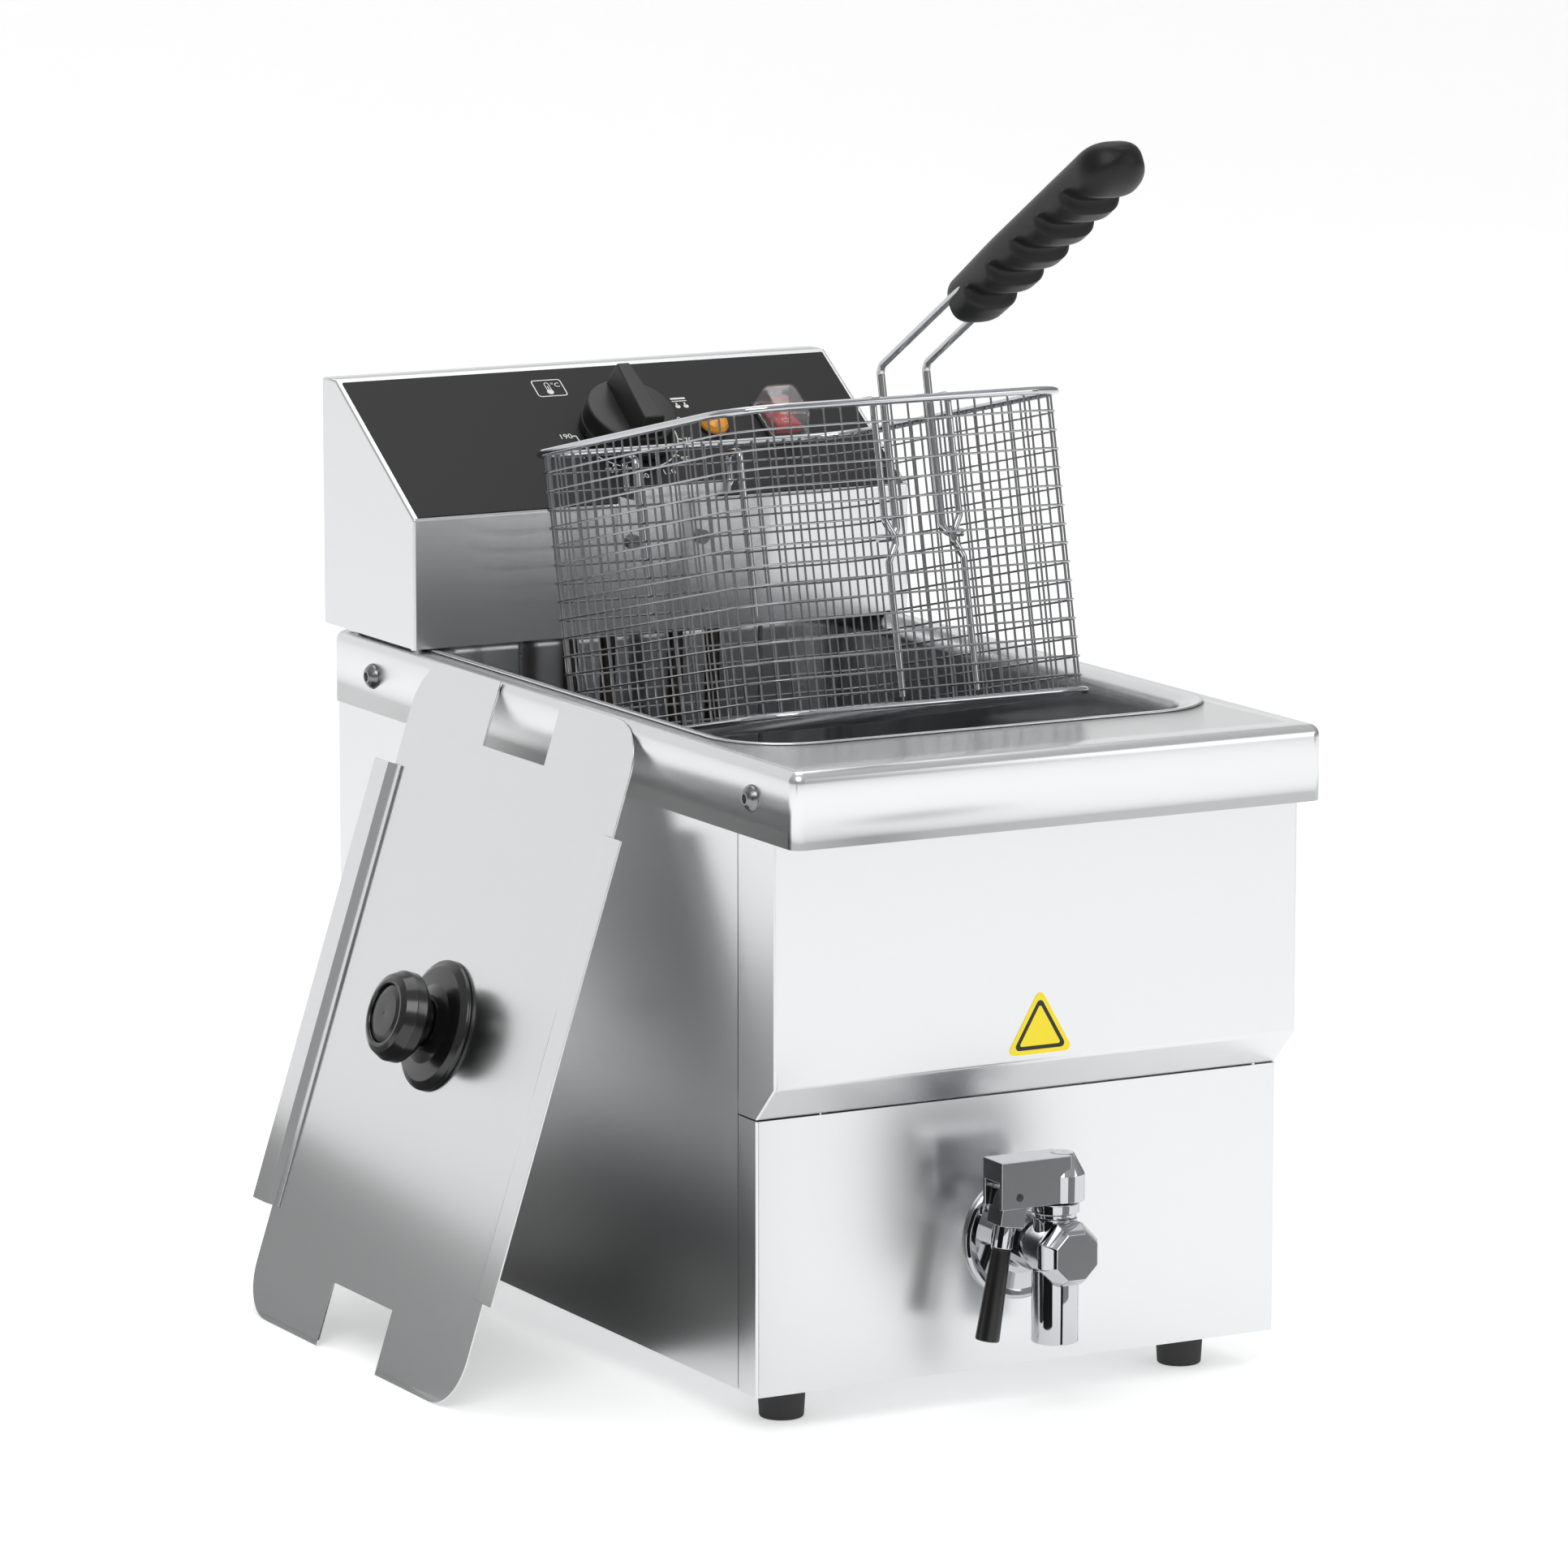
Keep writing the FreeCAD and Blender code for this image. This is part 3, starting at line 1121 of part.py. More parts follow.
def control_knob():
    """Skirted knob with a raised wedge bar that points up the slope."""
    z0 = knob_base()
    top = z0 + KNOB_DISC
    outline = [
        (0, z0), (KNOB_RADIUS, z0), (KNOB_RADIUS, z0 + 5), (KNOB_TOP_RADIUS, top - 1.2),
        (KNOB_TOP_RADIUS - 1.2, top), (0, top),
    ]
    disc = turned(outline, (KNOB_X, CONTROL_ROW, 0))
    half = BAR_LENGTH / 2
    flare = 2.2
    low = []
    high = []
    for width, s in ((BAR_TAIL_WIDTH, -half), (BAR_POINTER_WIDTH, half)):
        for side in (-1, 1):
            low.append((KNOB_X + side * (width / 2 + flare), CONTROL_ROW + s))
            high.append((KNOB_X + side * width / 2, CONTROL_ROW + s))
    order = (0, 1, 3, 2)
    wires = []
    for points, z in ((low, z0 + KNOB_DISC - 3), (high, z0 + KNOB_BAR_TOP)):
        ring = [Vector(points[i][0], points[i][1], z) for i in order]
        wires.append(Part.makePolygon(ring + ring[:1]))
    bar = Part.makeLoft(wires, True, True)
    bar = bar.common(rod(KNOB_TOP_RADIUS - 0.3, (KNOB_X, CONTROL_ROW, z0), (KNOB_X, CONTROL_ROW, z0 + 40)))
    bore = rod(SPINDLE_RADIUS + RUN, (KNOB_X, CONTROL_ROW, z0 - 1), (KNOB_X, CONTROL_ROW, z0 + 11))
    return on_slope(fuse([disc, bar]).cut(bore))


def knob_spindle():
    """Spindle from the thermostat into the knob."""
    z0 = knob_base()
    return on_slope(rod(SPINDLE_RADIUS, (KNOB_X, CONTROL_ROW, -21), (KNOB_X, CONTROL_ROW, z0 + 10.5)))


# ---------------------------------------------------------------- basket
def basket_outline(grow, z):
    """The basket's plan outline, moved out from the upright wires by a distance."""
    return rounded_outline(-BASKET_HALF_WIDTH - grow, BASKET_HALF_WIDTH + grow, MESH_FRONT - grow,
                           MESH_FRONT + BASKET_DEPTH + grow, BASKET_CORNER + grow, z)


def outline_ring(grow, z, radius):
    """A closed wire round the basket."""
    path = basket_outline(grow, z)
    start = Vector(0, MESH_FRONT - grow, z)
    first = Vector(BASKET_HALF_WIDTH + grow - BASKET_CORNER - grow, MESH_FRONT - grow, z)
    ring = Part.Wire(Part.makeCircle(radius, first, (first - start).normalize()))
    return path.makePipeShell([ring], True, False)


def basket_rim():
    """Thick wire round the basket's mouth."""
    return hung(outline_ring(BASKET_RIM_OFFSET, BASKET_HEIGHT, RIM_RADIUS))


def basket_base_frame():
    """Thick wire round the basket's foot."""
    return hung(outline_ring(BASKET_BASE_OFFSET, BASE_RADIUS, BASE_RADIUS))


def upright_places():
    """Evenly spaced points round the basket's outline: (x, y)."""
    path = basket_outline(0, 0)
    count = 2 * round(path.Length / WIRE_PITCH / 2)
    return [(p.x, p.y) for p in path.discretize(Number=count + 1)[:count]]


def basket_uprights():
    """The upright wires of the basket's sides."""
    shapes = []
    for x, y in upright_places():
        shapes.append(rod(WIRE_RADIUS, (x, y, 0.3), (x, y, BASKET_HEIGHT + 1.2)))
    return hung(group(shapes))


def basket_rings():
    """The level wires of the basket's sides, outside the uprights."""
    shapes = []
    grow = 2 * WIRE_RADIUS + WELD
    first = 2 * BASE_RADIUS + 6
    count = int((BASKET_HEIGHT - RIM_RADIUS - 4 - first) / WIRE_PITCH) + 1
    for level in range(count):
        shapes.append(outline_ring(grow, first + level * WIRE_PITCH, WIRE_RADIUS))
    return hung(group(shapes))


def corner_inset(side, radius):
    """How far a rounded corner draws in its straight edge, at a distance from the other edge."""
    if side >= radius:
        return 0.0
    return radius - math.sqrt(max(0.0, radius * radius - (radius - side) ** 2))


def basket_floor_wires():
    """Crossed wires of the basket's floor, one layer on the other."""
    shapes = []
    gap = 2 * WIRE_RADIUS + FLOOR_GAP
    half = BASKET_HALF_WIDTH - gap
    corner = BASKET_CORNER - gap
    low = WIRE_RADIUS + WELD
    high = low + 2 * WIRE_RADIUS + WELD
    rows = int(BASKET_DEPTH / WIRE_PITCH)
    start = (BASKET_DEPTH - (rows - 1) * WIRE_PITCH) / 2
    for row in range(rows):
        along = start + row * WIRE_PITCH
        reach = half - corner_inset(min(along, BASKET_DEPTH - along) - gap, corner)
        y = MESH_FRONT + along
        shapes.append(rod(WIRE_RADIUS, (-reach, y, low), (reach, y, low)))
    columns = int(half / WIRE_PITCH)
    for column in range(-columns, columns + 1):
        x = column * WIRE_PITCH
        inset = gap + corner_inset(half - abs(x), corner)
        y0 = MESH_FRONT + inset
        y1 = MESH_FRONT + BASKET_DEPTH - inset
        shapes.append(rod(WIRE_RADIUS, (x, y0, high), (x, y1, high)))
    return hung(group(shapes))


def inner_plane(radius):
    """How far back a bar runs when it lies against the inside of the front mesh."""
    return MESH_FRONT + WIRE_RADIUS + radius + WELD


def handle_supports():
    """One wire: up inside the front mesh with a kink, back in a loop at the rim, and down again."""
    y = inner_plane(SUPPORT_RADIUS)
    top = BASKET_HEIGHT + SUPPORT_RISE
    kink = BASKET_HEIGHT - HANDLE_TAIL - 2
    half = SUPPORT_SPACING / 2
    narrow = half - SUPPORT_KINK
    leg = [
        (half, y, 6.0), (half, y, kink - 10), (narrow, y, kink - 2), (narrow, y, kink + 2),
        (half, y, kink + 10), (half, y, top), (half, y + SUPPORT_BACK, top),
    ]
    points = [(HANDLE_X + a, b, c) for a, b, c in leg]
    points += [(HANDLE_X - a, b, c) for a, b, c in reversed(leg)]
    return hung(bent_rod(points, SUPPORT_RADIUS, 2.5))


def grip_direction():
    """Unit steps along the handle, in the level basket's (y, z)."""
    angle = math.radians(HANDLE_ANGLE)
    return -math.cos(angle), math.sin(angle)


def handle_plane():
    """How far back the handle's wires run, just behind the supports."""
    return inner_plane(SUPPORT_RADIUS) + SUPPORT_RADIUS + WELD + HANDLE_RADIUS


def handle_wires():
    """Two bent wires: an outward hook at the foot, up behind the supports, forward to the grip."""
    y = handle_plane()
    step_y, step_z = grip_direction()
    reach = HANDLE_WIRE + HANDLE_SOCKET
    foot = BASKET_HEIGHT - HANDLE_TAIL
    top = BASKET_HEIGHT + HANDLE_RISE
    shapes = []
    for side in (-1, 1):
        x = HANDLE_X + side * HANDLE_SPACING / 2
        points = [
            (x + side * HANDLE_HOOK, y, foot), (x, y, foot), (x, y, top),
            (x, y + step_y * reach, top + step_z * reach),
        ]
        shapes.append(bent_rod(points, HANDLE_RADIUS, 6.0))
    return hung(group(shapes))


def grip_profile():
    """The grip's side outline: (along, up) from the middle of its near end."""
    top = GRIP_DEPTH * 0.45
    low = -GRIP_DEPTH * 0.55
    length = GRIP_SPAN
    points = [(0, top - 6), (4, top), (length - 16, top), (length - 2, top - 8), (length, 0),
              (length - 6, low + 6)]
    notch = (length - 34) / GRIP_NOTCHES
    for index in range(GRIP_NOTCHES, 0, -1):
        end = 22 + notch * index
        points += [(end - 2, low), (end - notch * 0.55, low), (end - notch * 0.9, low + 5)]
    points += [(18, low), (3, low + 9), (0, low + 14)]
    return points


def grip_section():
    """A long bar with the grip's rounded cross-section, along its own Y."""
    half = GRIP_WIDTH / 2
    middle = -GRIP_DEPTH * 0.05
    depth = GRIP_DEPTH / 2
    bar = rounded_block(-half, half, -depth, depth, -5, GRIP_SPAN + 5, GRIP_ROUNDING)
    return placed(bar, Placement(Vector(0, 0, middle), Rotation(Vector(1, 0, 0), -90)))


def handle_grip():
    """Long rounded grip with finger notches along its underside."""
    corners = [Vector(-GRIP_WIDTH, along, up) for along, up in grip_profile()]
    blank = Part.Face(Part.makePolygon(corners + corners[:1])).extrude(Vector(2 * GRIP_WIDTH, 0, 0))
    bores = []
    for x in (-HANDLE_SPACING / 2, HANDLE_SPACING / 2):
        bores.append(rod(HANDLE_RADIUS + RUN, (x, -2, 0), (x, HANDLE_SOCKET + 1, 0)))
    grip = cut_all(blank.common(grip_section()), bores)
    step_y, step_z = grip_direction()
    frame = Matrix(
        -1, 0, 0, HANDLE_X,
        0, step_y, step_z, handle_plane() + step_y * HANDLE_WIRE,
        0, step_z, -step_y, BASKET_HEIGHT + HANDLE_RISE + step_z * HANDLE_WIRE,
        0, 0, 0, 1,
    )
    return hung(placed(grip, Placement(frame)))


def hook_reach():
    """Where the rear hook's upright wires and its hanging bar run, in the level basket's y."""
    welded = MESH_FRONT + BASKET_DEPTH + 3 * WIRE_RADIUS + HOOK_RADIUS + 2 * WELD
    return welded, welded + HOOK_LENGTH


def basket_rear_hook():
    """Wire hook behind the rim that hangs on the head's hanger."""
    y, reach = hook_reach()
    z_top = BASKET_HEIGHT - RIM_RADIUS - HOOK_RADIUS - SEAM
    leg = [(y, 60), (y, z_top), (reach, z_top), (reach, z_top - HOOK_DROP)]
    points = [(-HOOK_HALF_WIDTH, a, b) for a, b in leg]
    points += [(HOOK_HALF_WIDTH, a, b) for a, b in reversed(leg)]
    return hung(bent_rod(points, HOOK_RADIUS, 3.0))


def hanger_seat():
    """Where the hook's hanging bar rests: its middle, and the seat's height under it."""
    z = BASKET_HEIGHT - RIM_RADIUS - HOOK_RADIUS - SEAM - HOOK_DROP
    bar = hung_point(0, hook_reach()[1], z)
    return bar, bar.z - HOOK_RADIUS - SEAM


def hanger_screw_z():
    """Height of the hanger's two screws."""
    return hanger_seat()[1] - HANGER_SCREW_DROP


def basket_hanger():
    """Steel bracket on the head's front: a flat foot and an upturned seat for the hook."""
    bar, seat = hanger_seat()
    t = HANGER_THICKNESS
    lip = bar.y - HOOK_RADIUS - SEAM
    face = HEAD_FRONT - SEAM
    screw_z = hanger_screw_z()
    foot = screw_z - HANGER_FOOT_EDGE
    plate = side_profile([
        (face, foot), (face, seat), (lip, seat), (lip, seat + HANGER_LIP), (lip - t, seat + HANGER_LIP),
        (lip - t, seat - t), (face - t, seat - t), (face - t, foot),
    ], HANGER_HALF_WIDTH)
    holes = [rod(SCREW_RADIUS + RUN, (x, HEAD_FRONT - 8, screw_z), (x, HEAD_FRONT + 3, screw_z))
             for x in (-HANGER_X, HANGER_X)]
    return cut_all(plate, holes)


# ---------------------------------------------------------------- lid
def lid_plate():
    """Flat lid with round corners and a notch at each end."""
    half = LID_WIDTH / 2
    plate = rounded_block(-half, half, 0, LID_LENGTH, -SHEET, 0, LID_CORNER)
    notch = LID_NOTCH_WIDTH / 2
    tools = [
        block(-notch, notch, -1, LID_NOTCH_DEPTH, -5, 5),
        block(-notch, notch, LID_LENGTH - LID_NOTCH_DEPTH, LID_LENGTH + 1, -5, 5),
        rod(2.5 + RUN, (0, LID_LENGTH / 2, -5), (0, LID_LENGTH / 2, 5)),
    ]
    return leant(cut_all(plate, tools))


def lid_side_strips():
    """Stepped strips along both long sides, which carry the lid on the tray."""
    half = LID_WIDTH / 2
    y0 = (LID_LENGTH - LID_STRIP_LENGTH) / 2
    y1 = y0 + LID_STRIP_LENGTH
    rise = LID_STRIP_RISE
    inner = half - LID_STRIP_LAP
    outer = half + LID_STRIP_REACH
    t = SHEET
    profile = [
        (inner, SEAM / 2), (half - 3, SEAM / 2), (half, rise), (outer, rise), (outer, rise + t),
        (half - 1, rise + t), (half - 4, SEAM / 2 + t), (inner, SEAM / 2 + t),
    ]
    corners = [Vector(x, y0, z) for x, z in profile]
    strip = Part.Face(Part.makePolygon(corners + corners[:1])).extrude(Vector(0, y1 - y0, 0))
    return leant(group([strip, mirrored(strip)]))


def lid_knob_base():
    """Wide flared foot of the lid's knob."""
    r = LID_KNOB_BASE_RADIUS
    z = SEAM / 2
    outline = [
        (2.5 + RUN, z), (r, z), (r, z + 2.2), (r - 5, z + 4.4), (LID_KNOB_NECK + 6, z + 6.2),
        (LID_KNOB_NECK + 2, z + 8.5), (2.5 + RUN, z + 8.5),
    ]
    return leant(turned(outline, (0, LID_LENGTH / 2, 0)))


def lid_knob():
    """Round knob on a narrow neck, with a shallow recess in its face."""
    z = SEAM / 2 + 8.5 + SEAM
    top = LID_KNOB_HEIGHT
    r = LID_KNOB_RADIUS
    outline = [
        (2.5 + RUN, z), (LID_KNOB_NECK, z), (LID_KNOB_NECK + 1.5, z + 4), (r - 3, z + 6.5),
        (r, z + 11), (r, z + 14), (r - 3, top - 1.5), (r - 6, top), (r - 8, top), (r - 8, top - 3),
        (2.5 + RUN, top - 3),
    ]
    return leant(turned(outline, (0, LID_LENGTH / 2, 0)))


def lid_knob_cap():
    """Round cap set in the knob's face."""
    top = LID_KNOB_HEIGHT
    r = LID_KNOB_RADIUS - 8 - SEAM
    outline = [(0, top - 3 + SEAM), (r, top - 3 + SEAM), (r, top - 1.0), (r - 1, top - 0.4), (0, top - 0.2)]
    return leant(turned(outline, (0, LID_LENGTH / 2, 0)))


def lid_knob_screw():
    """Screw from under the lid into the knob."""
    under = -SHEET - SEAM / 2
    outline = [
        (0, under - 2), (4.5, under - 2), (4.5, under), (2.5, under), (2.5, LID_KNOB_HEIGHT - 3.2),
        (0, LID_KNOB_HEIGHT - 3.2),
    ]
    return leant(turned(outline, (0, LID_LENGTH / 2, 0)))


# ---------------------------------------------------------------- writing the parts
NODES = [
    base_plate, rubber_feet, foot_screws, front_panel, left_side_panel, right_side_panel, rear_panel,
    top_tray, oil_tank, tray_screws, drain_elbow, front_label,
    tap_escutcheon, tap_body, tap_lock_nut, tap_end_cap, tap_spout, tap_bonnet,
    tap_plug, tap_lever, fork_pin, grip_hinge_block, grip_collar, grip_sleeve,
    head_cover, head_rear_plate, head_base_plate, head_screws, control_overlay, thermostat_body,
    safety_thermostat, reset_button, terminal_block, pilot_lamp_body, pilot_lamp_lens,
    switch_housing, switch_rocker, switch_boot, cable_gland, heating_element, element_flange,
    thermostat_bulbs, control_knob, knob_spindle, basket_hanger,
    basket_rim, basket_base_frame, basket_uprights, basket_rings, basket_floor_wires,
    handle_supports, handle_wires, handle_grip, basket_rear_hook,
    lid_plate, lid_side_strips, lid_knob_base, lid_knob, lid_knob_cap, lid_knob_screw,
]


def main():
    """Build every node and write one STEP file for each."""
    os.makedirs("parts", exist_ok=True)
    for make in NODES:
        shape = make()
        if not shape.isValid():
            raise RuntimeError(make.__name__ + " is not a valid shape")
        shape.exportStep(os.path.join("parts", make.__name__ + ".step"))
        print(make.__name__, len(shape.Solids), round(shape.Volume))


main()
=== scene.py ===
"""Detailed looks for a table-top deep fryer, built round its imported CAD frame."""
import json
import math

import bmesh
import bpy
from mathutils import Matrix, Vector


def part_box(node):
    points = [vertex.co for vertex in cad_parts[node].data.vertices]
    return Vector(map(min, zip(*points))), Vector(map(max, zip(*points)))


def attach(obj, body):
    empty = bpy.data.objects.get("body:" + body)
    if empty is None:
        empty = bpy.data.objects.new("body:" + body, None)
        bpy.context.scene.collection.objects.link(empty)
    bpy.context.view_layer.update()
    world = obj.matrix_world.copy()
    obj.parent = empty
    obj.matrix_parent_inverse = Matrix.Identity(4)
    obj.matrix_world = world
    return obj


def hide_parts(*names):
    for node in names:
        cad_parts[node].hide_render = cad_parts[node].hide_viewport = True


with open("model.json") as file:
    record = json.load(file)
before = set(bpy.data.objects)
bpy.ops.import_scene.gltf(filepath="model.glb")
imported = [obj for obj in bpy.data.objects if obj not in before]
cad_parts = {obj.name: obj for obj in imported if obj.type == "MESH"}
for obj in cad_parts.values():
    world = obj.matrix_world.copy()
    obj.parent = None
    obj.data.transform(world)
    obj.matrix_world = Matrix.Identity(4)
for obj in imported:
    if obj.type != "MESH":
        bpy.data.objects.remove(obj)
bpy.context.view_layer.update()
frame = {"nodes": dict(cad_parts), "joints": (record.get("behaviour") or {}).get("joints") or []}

bl_info = {
    "name": "Deep fryer looks",
    "version": (1, 0, 0),
    "blender": (4, 5, 0),
    "location": "3D View > Sidebar > Fryer",
    "description": "Builds the detailed pieces of a table-top deep fryer round its frame",
    "category": "Object",
}

# ------------------------------------------------------------ sizes shared by pieces, in mm
MM = 0.001
SHEET = 1.0                  # thickness of the steel sheet
SEAM = 0.1                   # gap between sheets that lie against each other
EDGE = 1.4                   # outside radius of the sheets' folded edges
FACET = math.radians(35)     # edges sharper than this stay crisp

BASKET_TILT = 12.2           # degrees, front end up
BASKET_PLACE = (0.0, -129.6, 330.0)
BASKET_HALF = 93.0           # to the centre of the upright wires
BASKET_FRONT = 2.3
BASKET_DEPTH = 228.6
BASKET_HEIGHT = 149.5
BASKET_CORNER = 26.4
HANDLE_X = 4.4               # the handle stands a little right of the basket's middle
HANDLE_HALF = 12.7
HANDLE_ANGLE = 18.0          # degrees above level, before the basket is tilted
HANDLE_RISE = 17.0
HANDLE_WIRE = 75.0

LID_LEAN = 17.8              # degrees from upright
LID_WIDTH = 240.0
LID_LENGTH = 343.0
LID_CORNER = 26.0


def joint(name):
    """A joint of the frame's record."""
    return next(j for j in frame["joints"] if j["name"] == name)


def box(node):
    """A CAD node's lowest and highest corners, in mm."""
    low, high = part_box(node)
    return Vector(low) / MM, Vector(high) / MM


def slope_place():
    """Axes of the control slope: X across, Y up the slope, Z outward, from the knob's middle."""
    turn = joint("knob_turn")
    out = -Vector(turn["axis"]).normalized()
    up = out.cross(Vector((1, 0, 0)))
    rows = Matrix((Vector((1, 0, 0)), up, out)).transposed().to_4x4()
    return Matrix.Translation(Vector(turn["pos_m"]) / MM) @ rows


def basket_place():
    """Axes of the level basket, tilted to where it hangs."""
    tilt = Matrix.Rotation(math.radians(-BASKET_TILT), 4, "X")
    return Matrix.Translation(Vector(BASKET_PLACE)) @ tilt


def lid_place():
    """Axes of the flat lid: Y along it, Z out of its face, from the middle of its lower end."""
    lean = math.radians(LID_LEAN)
    low, high = box("lid_plate")
    up = Vector((math.sin(lean), 0, math.cos(lean)))
    out = Vector((-math.cos(lean), 0, math.sin(lean)))
    across = Vector((0, -1, 0))
    foot = Vector((low.x, (low.y + high.y) / 2, SHEET * math.sin(lean)))
    rows = Matrix((across, up, out)).transposed().to_4x4()
    return Matrix.Translation(foot) @ rows


# ------------------------------------------------------------ shape helpers, all in mm
def arc_between(start, end, centre, steps):
    """Points on the shorter arc from start to end about a centre."""
    first = start - centre
    last = end - centre
    whole = first.angle(last)
    points = []
    for step in range(steps + 1):
        part = step / steps
        a = math.sin((1 - part) * whole) / math.sin(whole)
        b = math.sin(part * whole) / math.sin(whole)
        points.append(centre + first * a + last * b)
    return points


def rounded_path(points, radius, steps=5, closed=False):
    """A path whose corners are tangent arcs of one radius, or less where a side is short."""
    points = [Vector(p) for p in points]
    count = len(points)
    result = []
    for index, corner in enumerate(points):
        if not closed and index in (0, count - 1):
            result.append(corner)
            continue
        back = points[index - 1] - corner
        ahead = points[(index + 1) % count] - corner
        half = back.angle(ahead) / 2
        if half > math.radians(89.5):
            result.append(corner)
            continue
        reach = min(radius / math.tan(half), back.length * 0.49, ahead.length * 0.49)
        bend = reach * math.tan(half)
        start = corner + back.normalized() * reach
        end = corner + ahead.normalized() * reach
        middle = (back.normalized() + ahead.normalized()).normalized()
        centre = corner + middle * (bend / math.sin(half))
        result += arc_between(start, end, centre, steps)
    return result


def rounded_rectangle(half_x, y0, y1, radius, z, steps=8):
    """A level closed ring with round corners."""
    corners = (
        (half_x - radius, y0 + radius, -90), (half_x - radius, y1 - radius, 0),
        (radius - half_x, y1 - radius, 90), (radius - half_x, y0 + radius, 180),
    )
    ring = []
    for x, y, first in corners:
        for step in range(steps + 1):
            angle = math.radians(first + 90 * step / steps)
            ring.append(Vector((x + radius * math.cos(angle), y + radius * math.sin(angle), z)))
    return ring


def skin(rings, cap_first=True, cap_last=True, closed=False):
    """Vertices and faces over rings of equal length."""
    size = len(rings[0])
    vertices = [v for ring in rings for v in ring]
    faces = []
    spans = len(rings) if closed else len(rings) - 1
    for row in range(spans):
        a = row * size
        b = ((row + 1) % len(rings)) * size
        for column in range(size):
            right = (column + 1) % size
            faces.append((a + column, a + right, b + right, b + column))
    if cap_first and not closed:
        faces.append(tuple(reversed(range(size))))
    if cap_last and not closed:
        start = (len(rings) - 1) * size
        faces.append(tuple(range(start, start + size)))
    return vertices, faces


def circle(radius, z, steps, x=0.0, y=0.0):
    """A level ring of evenly spaced points."""
    ring = []
    for step in range(steps):
        angle = 2 * math.pi * step / steps
        ring.append(Vector((x + radius * math.cos(angle), y + radius * math.sin(angle), z)))
    return ring


def lathe(outline, steps=64):
    """A turned body from (radius, height) points about its own Z."""
    return skin([circle(radius, height, steps) for radius, height in outline], closed=True)


def turned_outline(points, radius, steps=4):
    """An outline of (radius, height) points with its corners rounded."""
    path = rounded_path([(x, y, 0) for x, y in points], radius, steps, True)
    return [(max(p.x, 0.02), p.y) for p in path]


def direction(points, index, closed):
    """The direction of a path at one of its points."""
    count = len(points)
    before = points[index - 1] if closed or index else points[index]
    after = points[(index + 1) % count] if closed or index < count - 1 else points[index]
    return (after - before).normalized()


def wire(points, radius, sides=12, closed=False):
    """A round wire along a path."""
    points = [Vector(p) for p in points]
    rings = []
    normal = None
    for index, point in enumerate(points):
        along = direction(points, index, closed)
        if normal is None:
            normal = along.cross(Vector((0, 0, 1)))
            if closed or normal.length < 0.1:
                normal = along.cross(Vector((0, 1, 0.3)))
            normal.normalize()
        normal = (normal - along * normal.dot(along)).normalized()
        side = along.cross(normal)
        ring = []
        for step in range(sides):
            angle = 2 * math.pi * step / sides
            ring.append(point + (normal * math.cos(angle) + side * math.sin(angle)) * radius)
        rings.append(ring)
    return skin(rings, closed=closed)


def prism(outline, depth):
    """A flat closed outline carried along a vector."""
    depth = Vector(depth)
    first = [Vector(p) for p in outline]
    return skin([first, [p + depth for p in first]])


def joined(*parts):
    """Several sets of vertices and faces as one."""
    vertices = []
    faces = []
    for part_vertices, part_faces in parts:
        start = len(vertices)
        vertices += part_vertices
        faces += [tuple(i + start for i in face) for face in part_faces]
    return vertices, faces


def moved(part, place):
    """Vertices and faces carried to a place."""
    vertices, faces = part
    return [place @ Vector(v) for v in vertices], faces


def link(name, mesh):
    """A new object of the scene."""
    piece = bpy.data.objects.new(name, mesh)
    bpy.context.scene.collection.objects.link(piece)
    return piece


def build(name, part, finish, place=Matrix(), bevel=0.0, segments=3, open_sheet=False):
    """An object in metres from vertices and faces in mm, with soft edges."""
    vertices, faces = moved(part, place)
    mesh = bpy.data.meshes.new(name)
    mesh.from_pydata([v * MM for v in vertices], [], faces)
    work = bmesh.new()
    work.from_mesh(mesh)
    bmesh.ops.remove_doubles(work, verts=work.verts, dist=1e-7)
    bmesh.ops.recalc_face_normals(work, faces=work.faces)
    if bevel:
        sharp = [e for e in work.edges if len(e.link_faces) == 2 and e.calc_face_angle() > FACET]
        bmesh.ops.bevel(work, geom=sharp, offset=bevel * MM, segments=segments, profile=0.5,
                        affect="EDGES", clamp_overlap=True)
    work.to_mesh(mesh)
    work.free()
    mesh.shade_smooth()
    mesh.set_sharp_from_angle(angle=FACET)
    mesh.materials.append(finish)
    piece = link(name, mesh)
    if open_sheet:
        wall = piece.modifiers.new("sheet thickness", "SOLIDIFY")
        wall.thickness = SHEET * MM
        wall.offset = -1
    if bevel:
        piece.modifiers.new("even faces", "WEIGHTED_NORMAL").keep_sharp = True
    return piece


def settle(piece, body, slot, *nodes):
    """Ride a piece on a body and hide the CAD nodes that it stands for; the slot is not used."""
    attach(piece, body)
    if nodes:
        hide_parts(*nodes)


def dress(finish, *nodes):
    """Give CAD nodes that stay a better material."""
    for node in nodes:
        piece = frame["nodes"][node]
        for slot in piece.material_slots:
            slot.material = finish


# ------------------------------------------------------------ node helpers
def linear(colour):
    """An sRGB hex colour as linear RGBA."""
    values = [int(colour[i:i + 2], 16) / 255 for i in (1, 3, 5)]
    return tuple(v / 12.92 if v <= 0.04045 else ((v + 0.055) / 1.055) ** 2.4 for v in values) + (1.0,)


def add(tree, kind, inputs=None, **settings):
    """Add a node with its settings, input values and links."""
    node = tree.nodes.new(kind)
    for key, value in settings.items():
        setattr(node, key, value)
    for key, value in (inputs or {}).items():
        if isinstance(value, bpy.types.NodeSocket):
            tree.links.new(value, node.inputs[key])
        else:
            node.inputs[key].default_value = value
    return node


